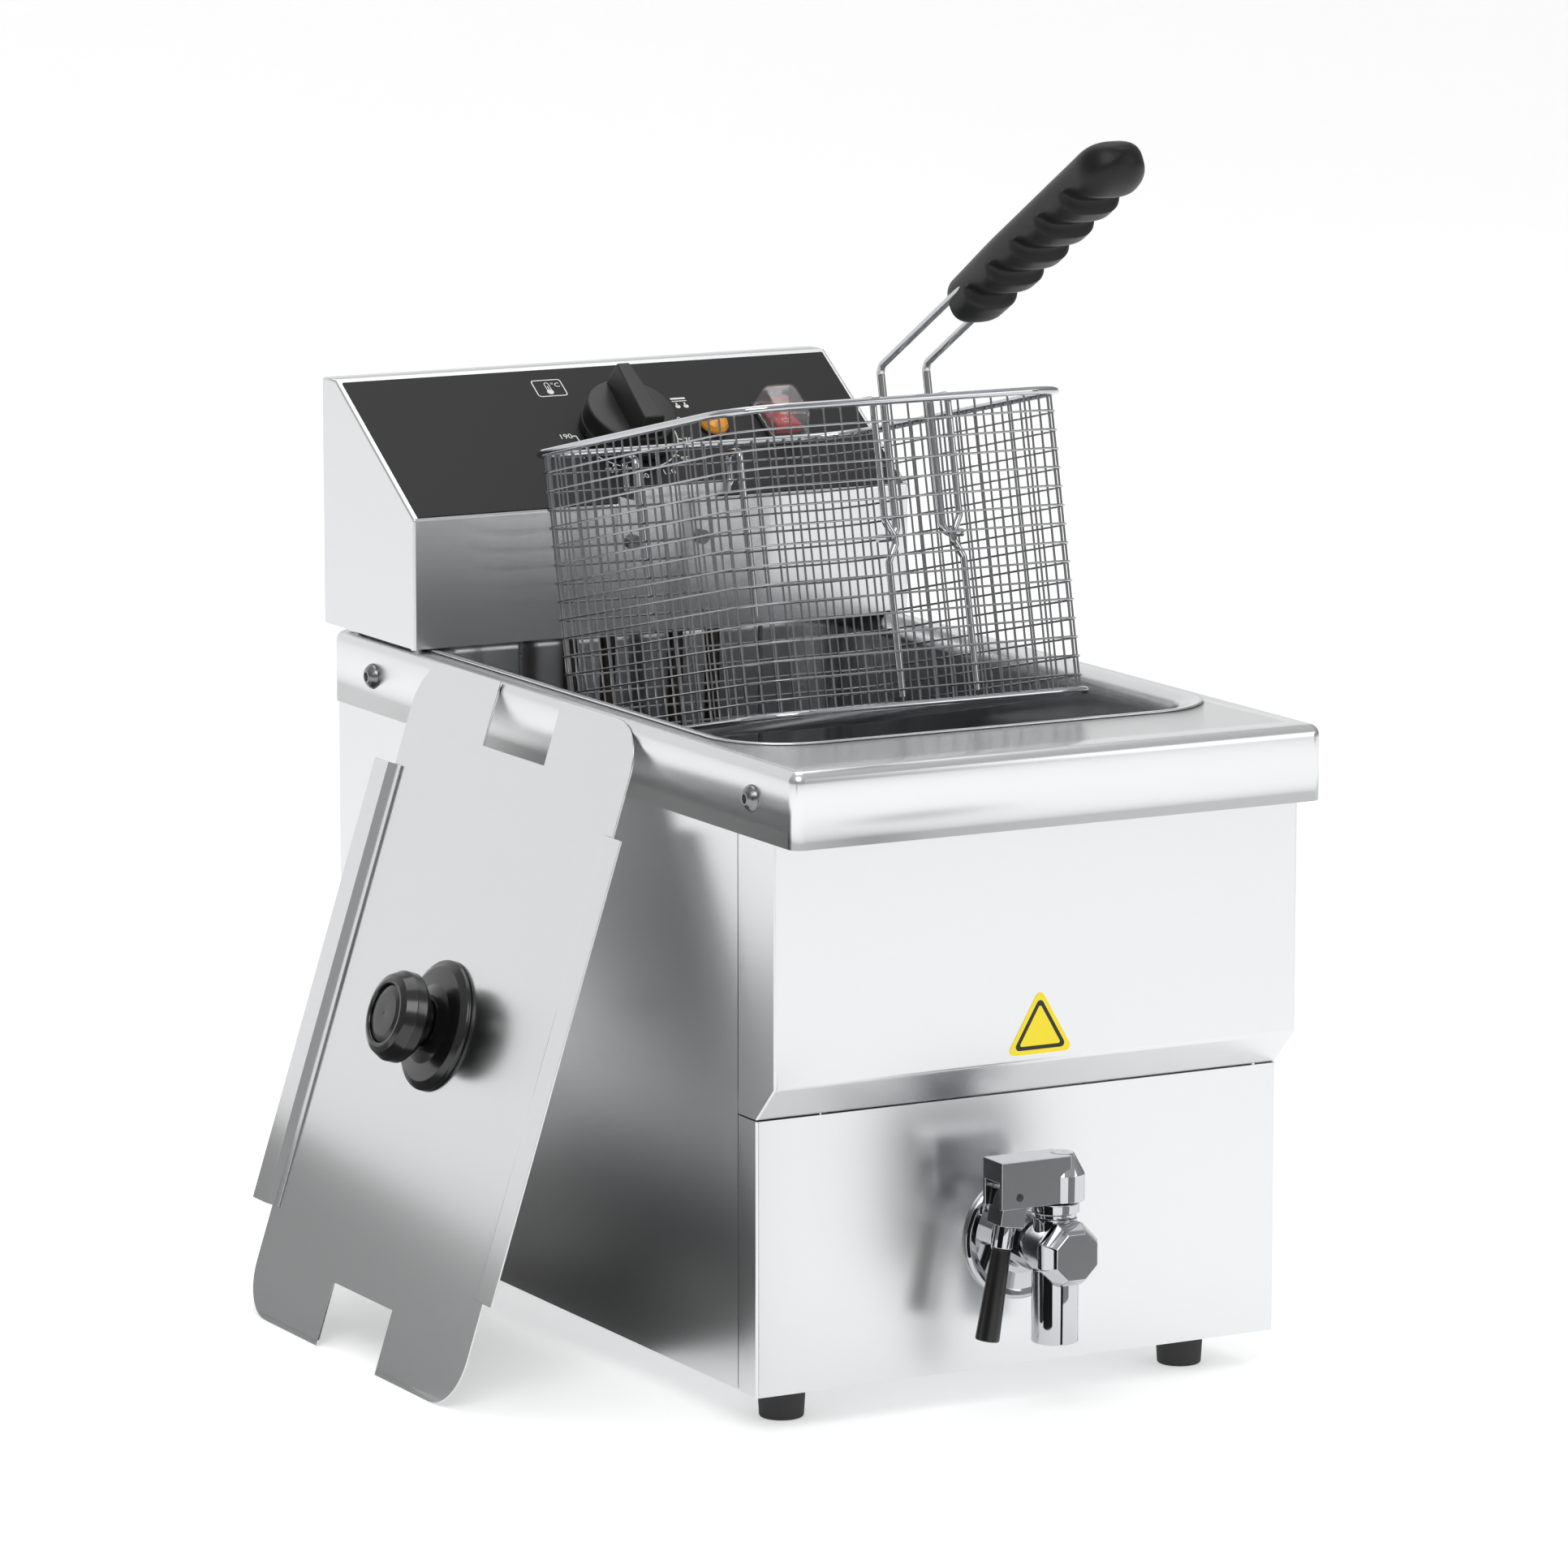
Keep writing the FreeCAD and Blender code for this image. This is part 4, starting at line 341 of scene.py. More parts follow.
def textured(name, light, dark, rough, grain, bump, detail=3.0, **constants):
    """A surface whose colour, roughness and height follow one fine pattern.

    grain is the pattern's size in mm along X, Y and Z, and bump its height in mm.
    """
    found = bpy.data.materials.get(name)
    if found:
        return found
    made = bpy.data.materials.new(name)
    made.use_nodes = True
    tree = made.node_tree
    shader = tree.nodes["Principled BSDF"]
    for key, value in constants.items():
        shader.inputs[key.replace("_", " ")].default_value = value
    places = add(tree, "ShaderNodeTexCoord")
    scale = [1.0 / (size * MM) for size in grain]
    mapped = add(tree, "ShaderNodeMapping", {"Vector": places.outputs["Object"], "Scale": scale})
    noise = add(tree, "ShaderNodeTexNoise", {"Vector": mapped.outputs[0], "Scale": 1.0, "Detail": detail})
    tone = add(tree, "ShaderNodeMix", {0: noise.outputs[0], 6: dark, 7: light}, data_type="RGBA")
    gloss = add(tree, "ShaderNodeMapRange",
                {"Value": noise.outputs[0], "To Min": rough[0], "To Max": rough[1]})
    height = add(tree, "ShaderNodeBump",
                 {"Height": noise.outputs[0], "Strength": 1.0, "Distance": bump * MM})
    tree.links.new(tone.outputs[2], shader.inputs["Base Color"])
    tree.links.new(gloss.outputs[0], shader.inputs["Roughness"])
    tree.links.new(height.outputs[0], shader.inputs["Normal"])
    return made


def shade(colour, factor):
    """A colour made darker or lighter by a factor."""
    return tuple(c * factor for c in colour[:3]) + (1.0,)


def colours():
    """The colours that a user can change."""
    return bpy.context.scene.fryer_colours


# ------------------------------------------------------------ materials
METAL = {"Metallic": 1.0}

# Each finish: light and dark tone, roughness range, grain in mm, bump in mm, shader values.
# A tone is a colour, or a user's colour with how much of its brightness is kept.
FINISHES = {
    # Rolled sheet with a fine satin grain
    "satin_stainless": (("steel", 1.0), ("steel", 0.985), (0.25, 0.265), (90, 90, 0.5), 0.00001, METAL),
    # The same sheet with its grain along the lid, a little glossier
    "lid_stainless": (("steel", 1.0), ("steel", 0.985), (0.20, 0.215), (60, 0.5, 60), 0.00001, METAL),
    # Deep-drawn tank steel with broad soft patches
    "drawn_stainless": (("steel", 1.0), ("steel", 0.88), (0.16, 0.28), (25, 25, 45), 0.002, METAL),
    # Polished plating on brass, barely wavy
    "chromed_brass": (("chrome", 1.0), ("chrome", 0.97), (0.03, 0.07), (9, 9, 9), 0.0006, METAL),
    # Thin plated wire with faint drawing marks, its chrome tone darkened as painted shade for the darker
    # reflections on the fine mesh
    "plated_wire": (("chrome", 0.75), ("chrome", 0.6), (0.12, 0.24), (2, 2, 2), 0.001, METAL),
    # Thick bright wire of the basket's frame and handle
    "chromed_wire": (("chrome", 1.0), ("chrome", 0.92), (0.06, 0.12), (5, 5, 5), 0.0008, METAL),
    # Plain machined steel
    "turned_steel": ("#B9BBBD", "#8F9193", (0.22, 0.38), (3, 3, 0.4), 0.001, METAL),
    # Burnished screw heads
    "screw_steel": ("#9A9B9C", "#6E6F71", (0.18, 0.32), (2, 2, 2), 0.001, METAL),
    # Turned brass
    "turned_brass": ("#C7A24E", "#9C7B36", (0.2, 0.36), (3, 3, 0.5), 0.001, METAL),
    # Oven-browned heating tube
    "heater_sheath": ("#6A625A", "#3B3530", (0.3, 0.5), (6, 6, 6), 0.004, METAL),
    # Black phenolic of the heat knob and the switch
    "moulded_black": (("plastic", 1.3), ("plastic", 1.0), (0.30, 0.42), (0.7, 0.7, 0.7), 0.006,
        {"IOR": 1.5}),
    # Glossy black phenolic of the lid's knob
    "polished_phenolic": (("plastic", 1.15), ("plastic", 0.7), (0.14, 0.24), (8, 8, 8), 0.002,
        {"IOR": 1.55, "Coat_Weight": 0.15, "Coat_Roughness": 0.1}),
    # Satin black nylon of the handle
    "grip_nylon": (("plastic", 1.0), ("plastic", 0.6), (0.36, 0.48), (1.2, 1.2, 1.2), 0.008,
        {"IOR": 1.5, "Specular_IOR_Level": 0.3}),
    # Matt rubber
    "foot_rubber": ("#1F1F20", "#131314", (0.5, 0.7), (1.5, 1.5, 1.5), 0.02, {"IOR": 1.5}),
    # Face film with a fine lighter speckle
    "speckled_film": (("film", 1.7), ("film", 0.4), (0.42, 0.55), (0.9, 0.9, 0.9), 0.008,
        {"detail": 6.0, "IOR": 1.5, "Specular_IOR_Level": 0.3}),
    # White screen print
    "print_white": ("#F4F4F2", "#DEDEDC", (0.4, 0.5), (1, 1, 1), 0.001, {"IOR": 1.5}),
    # Translucent red key
    "rocker_red": (("rocker", 1.0), ("rocker", 0.7), (0.1, 0.2), (3, 3, 3), 0.003,
        {"IOR": 1.5, "Transmission_Weight": 0.15, "Coat_Weight": 0.5}),
    # Clear amber lens
    "amber_lens": (("amber", 1.0), ("amber", 0.75), (0.04, 0.1), (3, 3, 3), 0.002,
        {"IOR": 1.5, "Transmission_Weight": 0.45}),
    # Clear soft vinyl of the splash boot
    "clear_vinyl": ("#F2F2F2", "#DADADA", (0.05, 0.09), (4, 4, 4), 0.001,
        {"IOR": 1.3, "Transmission_Weight": 0.9, "Alpha": 0.55}),
    # Glossy yellow vinyl sticker
    "sticker_yellow": (("label", 1.0), ("label", 0.94), (0.25, 0.35), (5, 5, 5), 0.001, {"IOR": 1.5}),
    # Black print on the sticker
    "print_black": ("#1A1A1A", "#101010", (0.3, 0.4), (2, 2, 2), 0.001, {"IOR": 1.5}),
    # Cream glazed ceramic
    "glazed_ceramic": ("#E9E4D8", "#D8D1C2", (0.15, 0.3), (6, 6, 6), 0.004, {"IOR": 1.52}),
    # Brown moulded bakelite
    "brown_bakelite": ("#4A3226", "#2E1E16", (0.28, 0.42), (4, 4, 4), 0.006, {"IOR": 1.6}),
}


def tone_of(tone):
    """A tone of the table as linear RGBA."""
    if isinstance(tone, str):
        return linear(tone)
    key, factor = tone
    return shade(getattr(colours(), key), factor)


def surface(name):
    """A finish of the table as a material."""
    light, dark, rough, grain, bump, values = FINISHES[name]
    return textured(name, tone_of(light), tone_of(dark), rough, grain, bump, **values)


DRESSED = {
    "satin_stainless": ("base_plate", "left_side_panel", "right_side_panel", "rear_panel", "head_rear_plate",
                        "head_base_plate", "basket_hanger"),
    "drawn_stainless": ("drain_elbow",),
    "turned_steel": ("fork_pin", "thermostat_bulbs", "knob_spindle"),
    "screw_steel": ("head_screws", "foot_screws", "lid_knob_screw"),
    "turned_brass": ("tap_plug", "tap_lock_nut", "element_flange"),
    "heater_sheath": ("heating_element",),
    "moulded_black": ("cable_gland", "pilot_lamp_body"),
    "speckled_film": ("control_overlay",),
    "rocker_red": ("reset_button",),
    "glazed_ceramic": ("terminal_block",),
    "brown_bakelite": ("thermostat_body", "safety_thermostat"),
}


def dress_frame():
    """Materials of the CAD nodes that keep their own surface."""
    for name, nodes in DRESSED.items():
        dress(surface(name), *nodes)


# ------------------------------------------------------------ repeated pieces by Geometry Nodes
def node_group(name, inputs):
    """A new Geometry Nodes group with a geometry socket each way and named inputs."""
    tree = bpy.data.node_groups.new(name, "GeometryNodeTree")
    tree.interface.new_socket("Geometry", in_out="INPUT", socket_type="NodeSocketGeometry")
    tree.interface.new_socket("Geometry", in_out="OUTPUT", socket_type="NodeSocketGeometry")
    for label, kind in inputs.items():
        tree.interface.new_socket(label, in_out="INPUT", socket_type="NodeSocket" + kind)
    return tree


def finish_group(tree, geometry, entry):
    """End a group in real geometry with its material set."""
    real = add(tree, "GeometryNodeRealizeInstances", {0: geometry})
    painted = add(tree, "GeometryNodeSetMaterial", {0: real.outputs[0],
                                                    "Material": entry.outputs["Material"]})
    add(tree, "NodeGroupOutput", {0: painted.outputs[0]})


def baked(name, host, tree, values):
    """The mesh that a group makes from a host mesh, as an object of its own."""
    carrier = link(name + "_host", host)
    modifier = carrier.modifiers.new(name, "NODES")
    modifier.node_group = tree
    for item in tree.interface.items_tree:
        if item.in_out == "INPUT" and item.name in values:
            modifier[item.identifier] = values[item.name]
    evaluated = carrier.evaluated_get(bpy.context.evaluated_depsgraph_get())
    mesh = bpy.data.meshes.new_from_object(evaluated)
    mesh.name = name
    bpy.data.objects.remove(carrier)
    mesh.shade_smooth()
    mesh.set_sharp_from_angle(angle=FACET)
    return link(name, mesh)


def point_host(name, points, edges=()):
    """A mesh of points, and edges between them, in metres from mm."""
    mesh = bpy.data.meshes.new(name)
    mesh.from_pydata([Vector(p) * MM for p in points], edges, [])
    return mesh


def repeated(name, part, finish, places, turn=(0, 0, 0)):
    """One small piece set at every place by Geometry Nodes, as one mesh."""
    single = build(name + "_single", part, finish)
    tree = node_group(name, {"Piece": "Object", "Turn": "Vector", "Material": "Material"})
    entry = add(tree, "NodeGroupInput")
    source = add(tree, "GeometryNodeObjectInfo", {0: entry.outputs["Piece"]})
    spread = add(tree, "GeometryNodeInstanceOnPoints",
                 {"Points": entry.outputs["Geometry"], "Instance": source.outputs["Geometry"],
                  "Rotation": entry.outputs["Turn"]})
    finish_group(tree, spread.outputs[0], entry)
    values = {"Piece": single, "Turn": turn, "Material": finish}
    piece = baked(name, point_host(name, places), tree, values)
    bpy.data.objects.remove(single)
    return piece


# ------------------------------------------------------------ housing
FRONT_FACE = -229.0
CHIN_FACE = -211.0
FLANGE_END = -193.0
CHIN_TOP = 172.5
CHIN_BOTTOM = 154.0
PANEL_HALF = 143.9
PANEL_TOP = 320.0
FOOT_HEIGHT = 20.0
CHIN_SEAM = 0.9              # dark gap between the upper and the lower front sheet


def wrapped_front(outline):
    """A front sheet from (y, z) points down its face, with a wrap back along both sides."""
    left = [Vector((-PANEL_HALF, y, z)) for y, z in outline]
    right = [Vector((PANEL_HALF, y, z)) for y, z in outline]
    top = outline[0][1]
    low = outline[-1][1]
    count = len(outline)
    backs = [Vector((side * PANEL_HALF, FLANGE_END, z)) for side in (-1, 1) for z in (top, low)]
    vertices = left + right + backs
    faces = [(i, i + 1, count + i + 1, count + i) for i in range(count - 1)]
    start = 2 * count
    faces.append(tuple(range(count)) + (start + 1, start))
    faces.append(tuple(range(count, 2 * count)) + (start + 3, start + 2))
    return vertices, faces


def front_panels():
    """Upper front sheet with its slanted chin, and the separate lower sheet."""
    fold = bpy.context.scene.fryer_sizes.fold
    upper = wrapped_front([(FRONT_FACE, PANEL_TOP), (FRONT_FACE, CHIN_TOP),
                           (CHIN_FACE, CHIN_BOTTOM + CHIN_SEAM)])
    lower = wrapped_front([(CHIN_FACE, CHIN_BOTTOM), (CHIN_FACE, FOOT_HEIGHT)])
    for name, part in (("front_upper_sheet", upper), ("front_lower_sheet", lower)):
        piece = build(name, part, surface("satin_stainless"), bevel=fold, open_sheet=True)
        settle(piece, "housing", "stainless_sheet", "front_panel")


TRAY_HALF = 145.0
TRAY_END = 250.0
TRAY_TOP = 327.0
TRAY_BEND = 6.0
SKIRT_BOTTOM = 290.0
TANK_HALF = 122.0
TANK_FRONT = -172.0
TANK_BACK = 205.0
TANK_CORNER = 28.0
TANK_LIP = 11.0
TANK_RIM = 1.5
TANK_FLOOR = 142.0
TANK_FOOT = 18.0             # inside radius where the tank's walls meet its floor
DRAIN_Y = -140.0
DRAIN_RADIUS = 9.5


def around(inset, z, half, front, back, radius):
    """A ring round a rounded rectangle, set in by a distance."""
    return rounded_rectangle(half - inset, front + inset, back - inset, max(radius - inset, 0.8), z)


def drip_tray():
    """The tray's skirt, its round bend and its flat top up to the tank's mouth."""
    rings = [around(0, SKIRT_BOTTOM, TRAY_HALF, -TRAY_END, TRAY_END, TRAY_BEND)]
    for step in range(9):
        angle = math.radians(90 * step / 8)
        inset = TRAY_BEND * (1 - math.cos(angle)) * 0.92
        z = TRAY_TOP - TRAY_BEND * (1 - math.sin(angle))
        rings.append(around(inset, z, TRAY_HALF, -TRAY_END, TRAY_END, TRAY_BEND))
    reach = TANK_LIP + TANK_RIM + SEAM
    rings.append(around(-reach, TRAY_TOP, TANK_HALF, TANK_FRONT, TANK_BACK, TANK_CORNER))
    piece = build("drip_tray", skin(rings, False, False), surface("satin_stainless"), open_sheet=True)
    settle(piece, "housing", "stainless_sheet", "top_tray")


def fry_tank():
    """Deep-drawn tank: flat rim, rolled lip, upright walls, round foot and the drain hole."""
    def ring(inset, z):
        """One level ring of the tank, set in from its walls."""
        return around(inset, z, TANK_HALF, TANK_FRONT, TANK_BACK, TANK_CORNER)
    rings = [ring(-TANK_LIP - TANK_RIM, TRAY_TOP)]
    for step in range(11):
        angle = math.radians(90 * step / 10)
        rings.append(ring(-TANK_LIP * (1 - math.sin(angle)), TRAY_TOP - TANK_LIP * (1 - math.cos(angle))))
    for step in range(9):
        angle = math.radians(90 * step / 8)
        rings.append(ring(TANK_FOOT * (1 - math.cos(angle)),
                          TANK_FLOOR + TANK_FOOT * (1 - math.sin(angle))))
    size = len(rings[0])
    hole = []
    for index in range(size):
        way = rings[-1][index] - Vector((0, DRAIN_Y, TANK_FLOOR))
        hole.append(Vector((0, DRAIN_Y, TANK_FLOOR)) + way.normalized() * DRAIN_RADIUS)
    rings.append(hole)
    piece = build("fry_tank", skin(rings, False, False), surface("drawn_stainless"), open_sheet=True)
    piece.modifiers[0].offset = 1
    settle(piece, "housing", "tank_steel", "oil_tank")


def housing_feet():
    """Four tapered rubber feet with a soft lower edge."""
    outline = turned_outline([(2.6, 20), (12, 20), (10.8, 0), (5.2, 0), (5.2, 4), (2.6, 4)], 1.2)
    low, high = box("rubber_feet")
    radius = 12.0
    places = [(x, y, 0) for x in (low.x + radius, high.x - radius) for y in (low.y + radius, high.y - radius)]
    piece = repeated("feet", lathe(outline, 40), surface("foot_rubber"), places)
    settle(piece, "housing", "foot_rubber", "rubber_feet")


def dome_screw():
    """A dome-head screw along Z with a hexagon socket and a narrow washer face."""
    dome = [(2.2, 2.4), (2.2, 4.2), (3.4, 3.9), (5.0, 2.9), (6.2, 1.3), (6.6, 0.3), (6.6, 0.05),
            (2.0, 0.05), (2.0, -9.0), (0.02, -9.0), (0.02, 2.4)]
    return lathe(turned_outline(dome, 0.25, 2), 40)


def skirt_screws():
    """Two dome screws on each side of the tray's skirt."""
    low, high = box("tray_screws")
    y0 = low.y + 6.6
    y1 = high.y - 6.6
    z = (low.z + high.z) / 2
    for name, side in (("left", -1), ("right", 1)):
        x = side * TRAY_HALF
        places = [(x, y0, z), (x, y1, z)]
        piece = repeated("skirt_screws_" + name, dome_screw(), surface("screw_steel"), places,
                         (0, math.radians(90 * side), 0))
        settle(piece, "housing", "plated_steel", "tray_screws")


def triangle(reach, radius, middle, y):
    """A rounded triangle that stands point up, facing the front."""
    corners = []
    for angle in (90, 210, 330):
        turn = math.radians(angle)
        corners.append((reach * math.cos(turn), y, middle + reach * math.sin(turn)))
    return rounded_path(corners, radius, 6, True)


def warning_triangle():
    """Plain yellow triangle with a black line inside its edge."""
    low, high = box("front_label")
    reach = 37.0 / math.sqrt(3)
    middle = 187.0
    base = triangle(reach, 2.5, middle, low.y)
    sticker = build("sticker", prism(base, (0, high.y - low.y, 0)), surface("sticker_yellow"))
    settle(sticker, "housing", "label_yellow", "front_label")
    face = low.y - 0.03
    outer = triangle(reach - 4.2, 2.0, middle, face)
    inner = triangle(reach - 8.0, 0.9, middle, face)
    line = build("sticker_line", flat_ring(outer, inner, (0, 0.02, 0)), surface("print_black"))
    settle(line, "housing", "label_yellow")


def flat_ring(outer, inner, depth):
    """A flat closed band between two outlines of equal length, with a little thickness."""
    depth = Vector(depth)
    rings = [outer, inner, [p + depth for p in inner], [p + depth for p in outer]]
    return skin(rings, closed=True)


# ------------------------------------------------------------ drain tap
TAP_HEIGHT = 83.7
TAP_Y = -244.6
LEVER_BOTTOM = 107.7
LEVER_TOP = 130.7
LEVER_HALF = 9.1
LEVER_REACH = 34.8           # from the upright axis to the lever's far end
FORK_HALF = 6.85
FORK_DEPTH = 25.0
FORK_HEIGHT = 12.8
PIN_PLACE = (-25.0, TAP_Y, 113.2)
GRIP_LEAN = 10.0


def facing(x, y, z):
    """A place whose Z looks towards the front and whose Y stays up."""
    rows = Matrix(((1, 0, 0), (0, 0, -1), (0, 1, 0))).to_4x4()
    return Matrix.Translation(Vector((x, y, z))) @ rows


def tap_flange():
    """Dished flange with a rolled edge."""
    outline = turned_outline([(10.1, 0), (31, 0), (31, 1.9), (29.3, 3.2), (26, 2.5), (18, 3.2), (15, 5),
                              (10.1, 5)], 0.9)
    place = facing(0, CHIN_FACE - SEAM, TAP_HEIGHT)
    piece = build("tap_flange", lathe(outline, 96), surface("chromed_brass"), place)
    settle(piece, "housing", "tap_plating", "tap_escutcheon")


def tap_barrel():
    """Level barrel with its boss and the thread behind."""
    place = facing(0, TAP_Y, TAP_HEIGHT)
    length = CHIN_FACE - 5.2 - TAP_Y
    outline = turned_outline([(6, 7), (14, 7), (14, -length), (10, -length), (10, -length - 29),
                              (6, -length - 29)], 0.8)
    barrel = moved(lathe(outline, 64), place)
    boss = turned_outline([(6.05, TAP_HEIGHT + 6), (10.5, TAP_HEIGHT + 6), (10.5, 99.7), (6.05, 99.7)], 0.5)
    upright = moved(lathe(boss, 64), Matrix.Translation((0, TAP_Y, 0)))
    piece = build("tap_barrel", joined(barrel, upright), surface("chromed_brass"))
    settle(piece, "housing", "tap_plating", "tap_body")


def octagon(radius, z):
    """A level eight-sided ring with a flat side up."""
    ring = []
    for corner in range(8):
        angle = math.radians(22.5 + 45 * corner)
        ring.append(Vector((radius * math.cos(angle), radius * math.sin(angle), z)))
    return ring


def tap_cap():
    """Eight-sided cap, chamfered down to an eight-sided flat face."""
    rings = [octagon(13.5, 7.1), octagon(16.5, 9.2), octagon(16.5, 13.5), octagon(12.6, 20.2),
             octagon(12.2, 21)]
    piece = build("tap_cap", skin(rings), surface("chromed_brass"), facing(0, TAP_Y, TAP_HEIGHT), bevel=0.5)
    settle(piece, "housing", "tap_plating", "tap_end_cap")


def tap_upright_pieces():
    """Down pipe and bonnet on the tap's upright axis."""
    place = Matrix.Translation((0, TAP_Y, 0))
    pipe = turned_outline([(7.5, 38.7), (11.3, 38.7), (11.3, TAP_HEIGHT - 9), (7.5, TAP_HEIGHT - 9)], 0.7)
    spout = build("tap_down_pipe", lathe(pipe, 72), surface("chromed_brass"), place)
    settle(spout, "housing", "tap_plating", "tap_spout")
    collar = turned_outline([(4.1, 99.8), (10, 99.8), (10, 102), (11.5, 102.4), (11.5, 107.2), (4.1, 107.2)],
                            0.5)
    bonnet = build("tap_top_nut", lathe(collar, 72), surface("chromed_brass"), place)
    settle(bonnet, "housing", "tap_plating", "tap_bonnet")


def tap_handle():
    """Lever block: flat-sided beam with a fork, and a coned round nose over the stem."""
    half = LEVER_HALF
    slot = FORK_HALF
    x0 = -LEVER_REACH
    fork = x0 + FORK_DEPTH
    fork_top = LEVER_BOTTOM + FORK_HEIGHT
    levels = (LEVER_BOTTOM, fork_top, LEVER_TOP)
    outline = [Vector((x0, TAP_Y - half, levels[0])), Vector((3.5, TAP_Y - half, levels[0])),
               Vector((3.5, TAP_Y - half, levels[2])), Vector((x0, TAP_Y - half, levels[2]))]
    beam = build("tap_lever_block", prism(outline, (0, 2 * half, 0)), surface("chromed_brass"))
    notch = [Vector((x0 - 1, TAP_Y - slot, levels[0] - 1)), Vector((fork, TAP_Y - slot, levels[0] - 1)),
             Vector((fork, TAP_Y - slot, fork_top)), Vector((x0 - 1, TAP_Y - slot, fork_top))]
    carve(beam, prism(notch, (0, 2 * slot, 0)))
    soften(beam, 0.35)
    settle(beam, "tap_valve", "tap_plating", "tap_lever")
    nose = turned_outline([(4.05, LEVER_BOTTOM), (11, LEVER_BOTTOM), (11, LEVER_BOTTOM + 13),
                           (5.5, LEVER_TOP + 0.2), (0.02, LEVER_TOP + 0.2), (0.02, LEVER_BOTTOM + 10.2),
                           (4.05, LEVER_BOTTOM + 10.2)], 0.4)
    cone = build("tap_lever_nose", lathe(nose, 72), surface("chromed_brass"),
                 Matrix.Translation((3.5, TAP_Y, 0)))
    settle(cone, "tap_valve", "tap_plating", "tap_lever")


def carve(piece, part):
    """Cut a shape out of a piece for good."""
    tool = build("cutter", part, piece.data.materials[0])
    cut = piece.modifiers.new("cut", "BOOLEAN")
    cut.operation = "DIFFERENCE"
    cut.solver = "EXACT"
    cut.object = tool
    evaluated = piece.evaluated_get(bpy.context.evaluated_depsgraph_get())
    mesh = bpy.data.meshes.new_from_object(evaluated)
    piece.modifiers.clear()
    piece.data = mesh
    bpy.data.objects.remove(tool)


def soften(piece, width):
    """Round a piece's crisp edges by a width in mm."""
    work = bmesh.new()
    work.from_mesh(piece.data)
    bmesh.ops.remove_doubles(work, verts=work.verts, dist=1e-7)
    bmesh.ops.dissolve_limit(work, angle_limit=math.radians(1), verts=work.verts, edges=work.edges)
    sharp = [e for e in work.edges if len(e.link_faces) == 2 and e.calc_face_angle() > FACET]
    bmesh.ops.bevel(work, geom=sharp, offset=width * MM, segments=3, profile=0.5, affect="EDGES",
                    clamp_overlap=True)
    work.to_mesh(piece.data)
    work.free()
    piece.data.shade_smooth()
    piece.data.set_sharp_from_angle(angle=FACET)
    piece.modifiers.new("even faces", "WEIGHTED_NORMAL").keep_sharp = True


def grip_place():
    """Axes of the hanging grip: Z up its length from the fork pin, leant to one side."""
    lean = Matrix.Rotation(math.radians(GRIP_LEAN), 4, "Y")
    return Matrix.Translation(PIN_PLACE) @ lean


def folding_grip():
    """Hinge block, collar and black sleeve that hang in the fork."""
    place = grip_place()
    half = 6.65
    arch = [Vector((-half, -half, -15)), Vector((half, -half, -15))]
    for step in range(17):
        angle = math.pi * step / 16
        arch.append(Vector((half * math.cos(angle), -half, half * math.sin(angle))))
    block = build("grip_hinge", prism(arch, (0, 2 * half, 0)), surface("chromed_brass"), place, bevel=0.4)
    settle(block, "tap_grip", "hinge_steel", "grip_hinge_block")
    collar = turned_outline([(0.02, -26.1), (5.1, -26.1), (5.1, -15.1), (0.02, -15.1)], 0.6)
    ferrule = build("grip_ferrule", lathe(collar, 48), surface("chromed_brass"), place)
    settle(ferrule, "tap_grip", "tap_plating", "grip_collar")
    sleeve = turned_outline([(0.02, -71.2), (5.9, -71.2), (4.6, -26.2), (0.02, -26.2)], 0.9)
    cover = build("grip_cover", lathe(sleeve, 48), surface("moulded_black"), place)
    settle(cover, "tap_grip", "black_plastic", "grip_sleeve")


# ------------------------------------------------------------ control head
HEAD_HALF = 143.6
HEAD_PROFILE = ((155.2, 328.6), (155.2, 395.3), (246.5, 456.7), (261.5, 456.7), (261.5, 328.6))
OVERLAY_TOP = 0.55
LAMP_X = 52.0
SWITCH_X = 91.0


def slope_box(x0, x1, y0, y1, z0, z1):
    """A box in the control slope's own axes."""
    outline = [(x0, y0, z0), (x1, y0, z0), (x1, y1, z0), (x0, y1, z0)]
    return prism(outline, (0, 0, z1 - z0))


def head_shell():
    """Folded cover of the head, with soft bends and holes behind its controls."""
    fold = bpy.context.scene.fryer_sizes.fold
    profile = [Vector((-HEAD_HALF, y, z)) for y, z in HEAD_PROFILE]
    far = [p + Vector((2 * HEAD_HALF, 0, 0)) for p in profile]
    size = len(profile)
    faces = [(i, i + 1, size + i + 1, size + i) for i in range(3)]
    faces += [tuple(range(size)), tuple(range(size, 2 * size))]
    cover = build("head_shell", (profile + far, faces), surface("satin_stainless"), bevel=fold,
                  open_sheet=True)
    place = slope_place()
    carve(cover, moved(lathe([(0.02, -5), (4.5, -5), (4.5, 5), (0.02, 5)], 32), place))
    lamp = place @ Matrix.Translation((LAMP_X, 0, 0))
    carve(cover, moved(lathe([(0.02, -5), (6.1, -5), (6.1, 5), (0.02, 5)], 32), lamp))
    carve(cover, moved(slope_box(SWITCH_X - 9.6, SWITCH_X + 9.6, -13.1, 13.1, -5, 5), place))
    cover.data.shade_smooth()
    cover.data.set_sharp_from_angle(angle=FACET)
    cover.modifiers.new("even faces", "WEIGHTED_NORMAL").keep_sharp = True
    settle(cover, "head", "stainless_sheet", "head_cover")


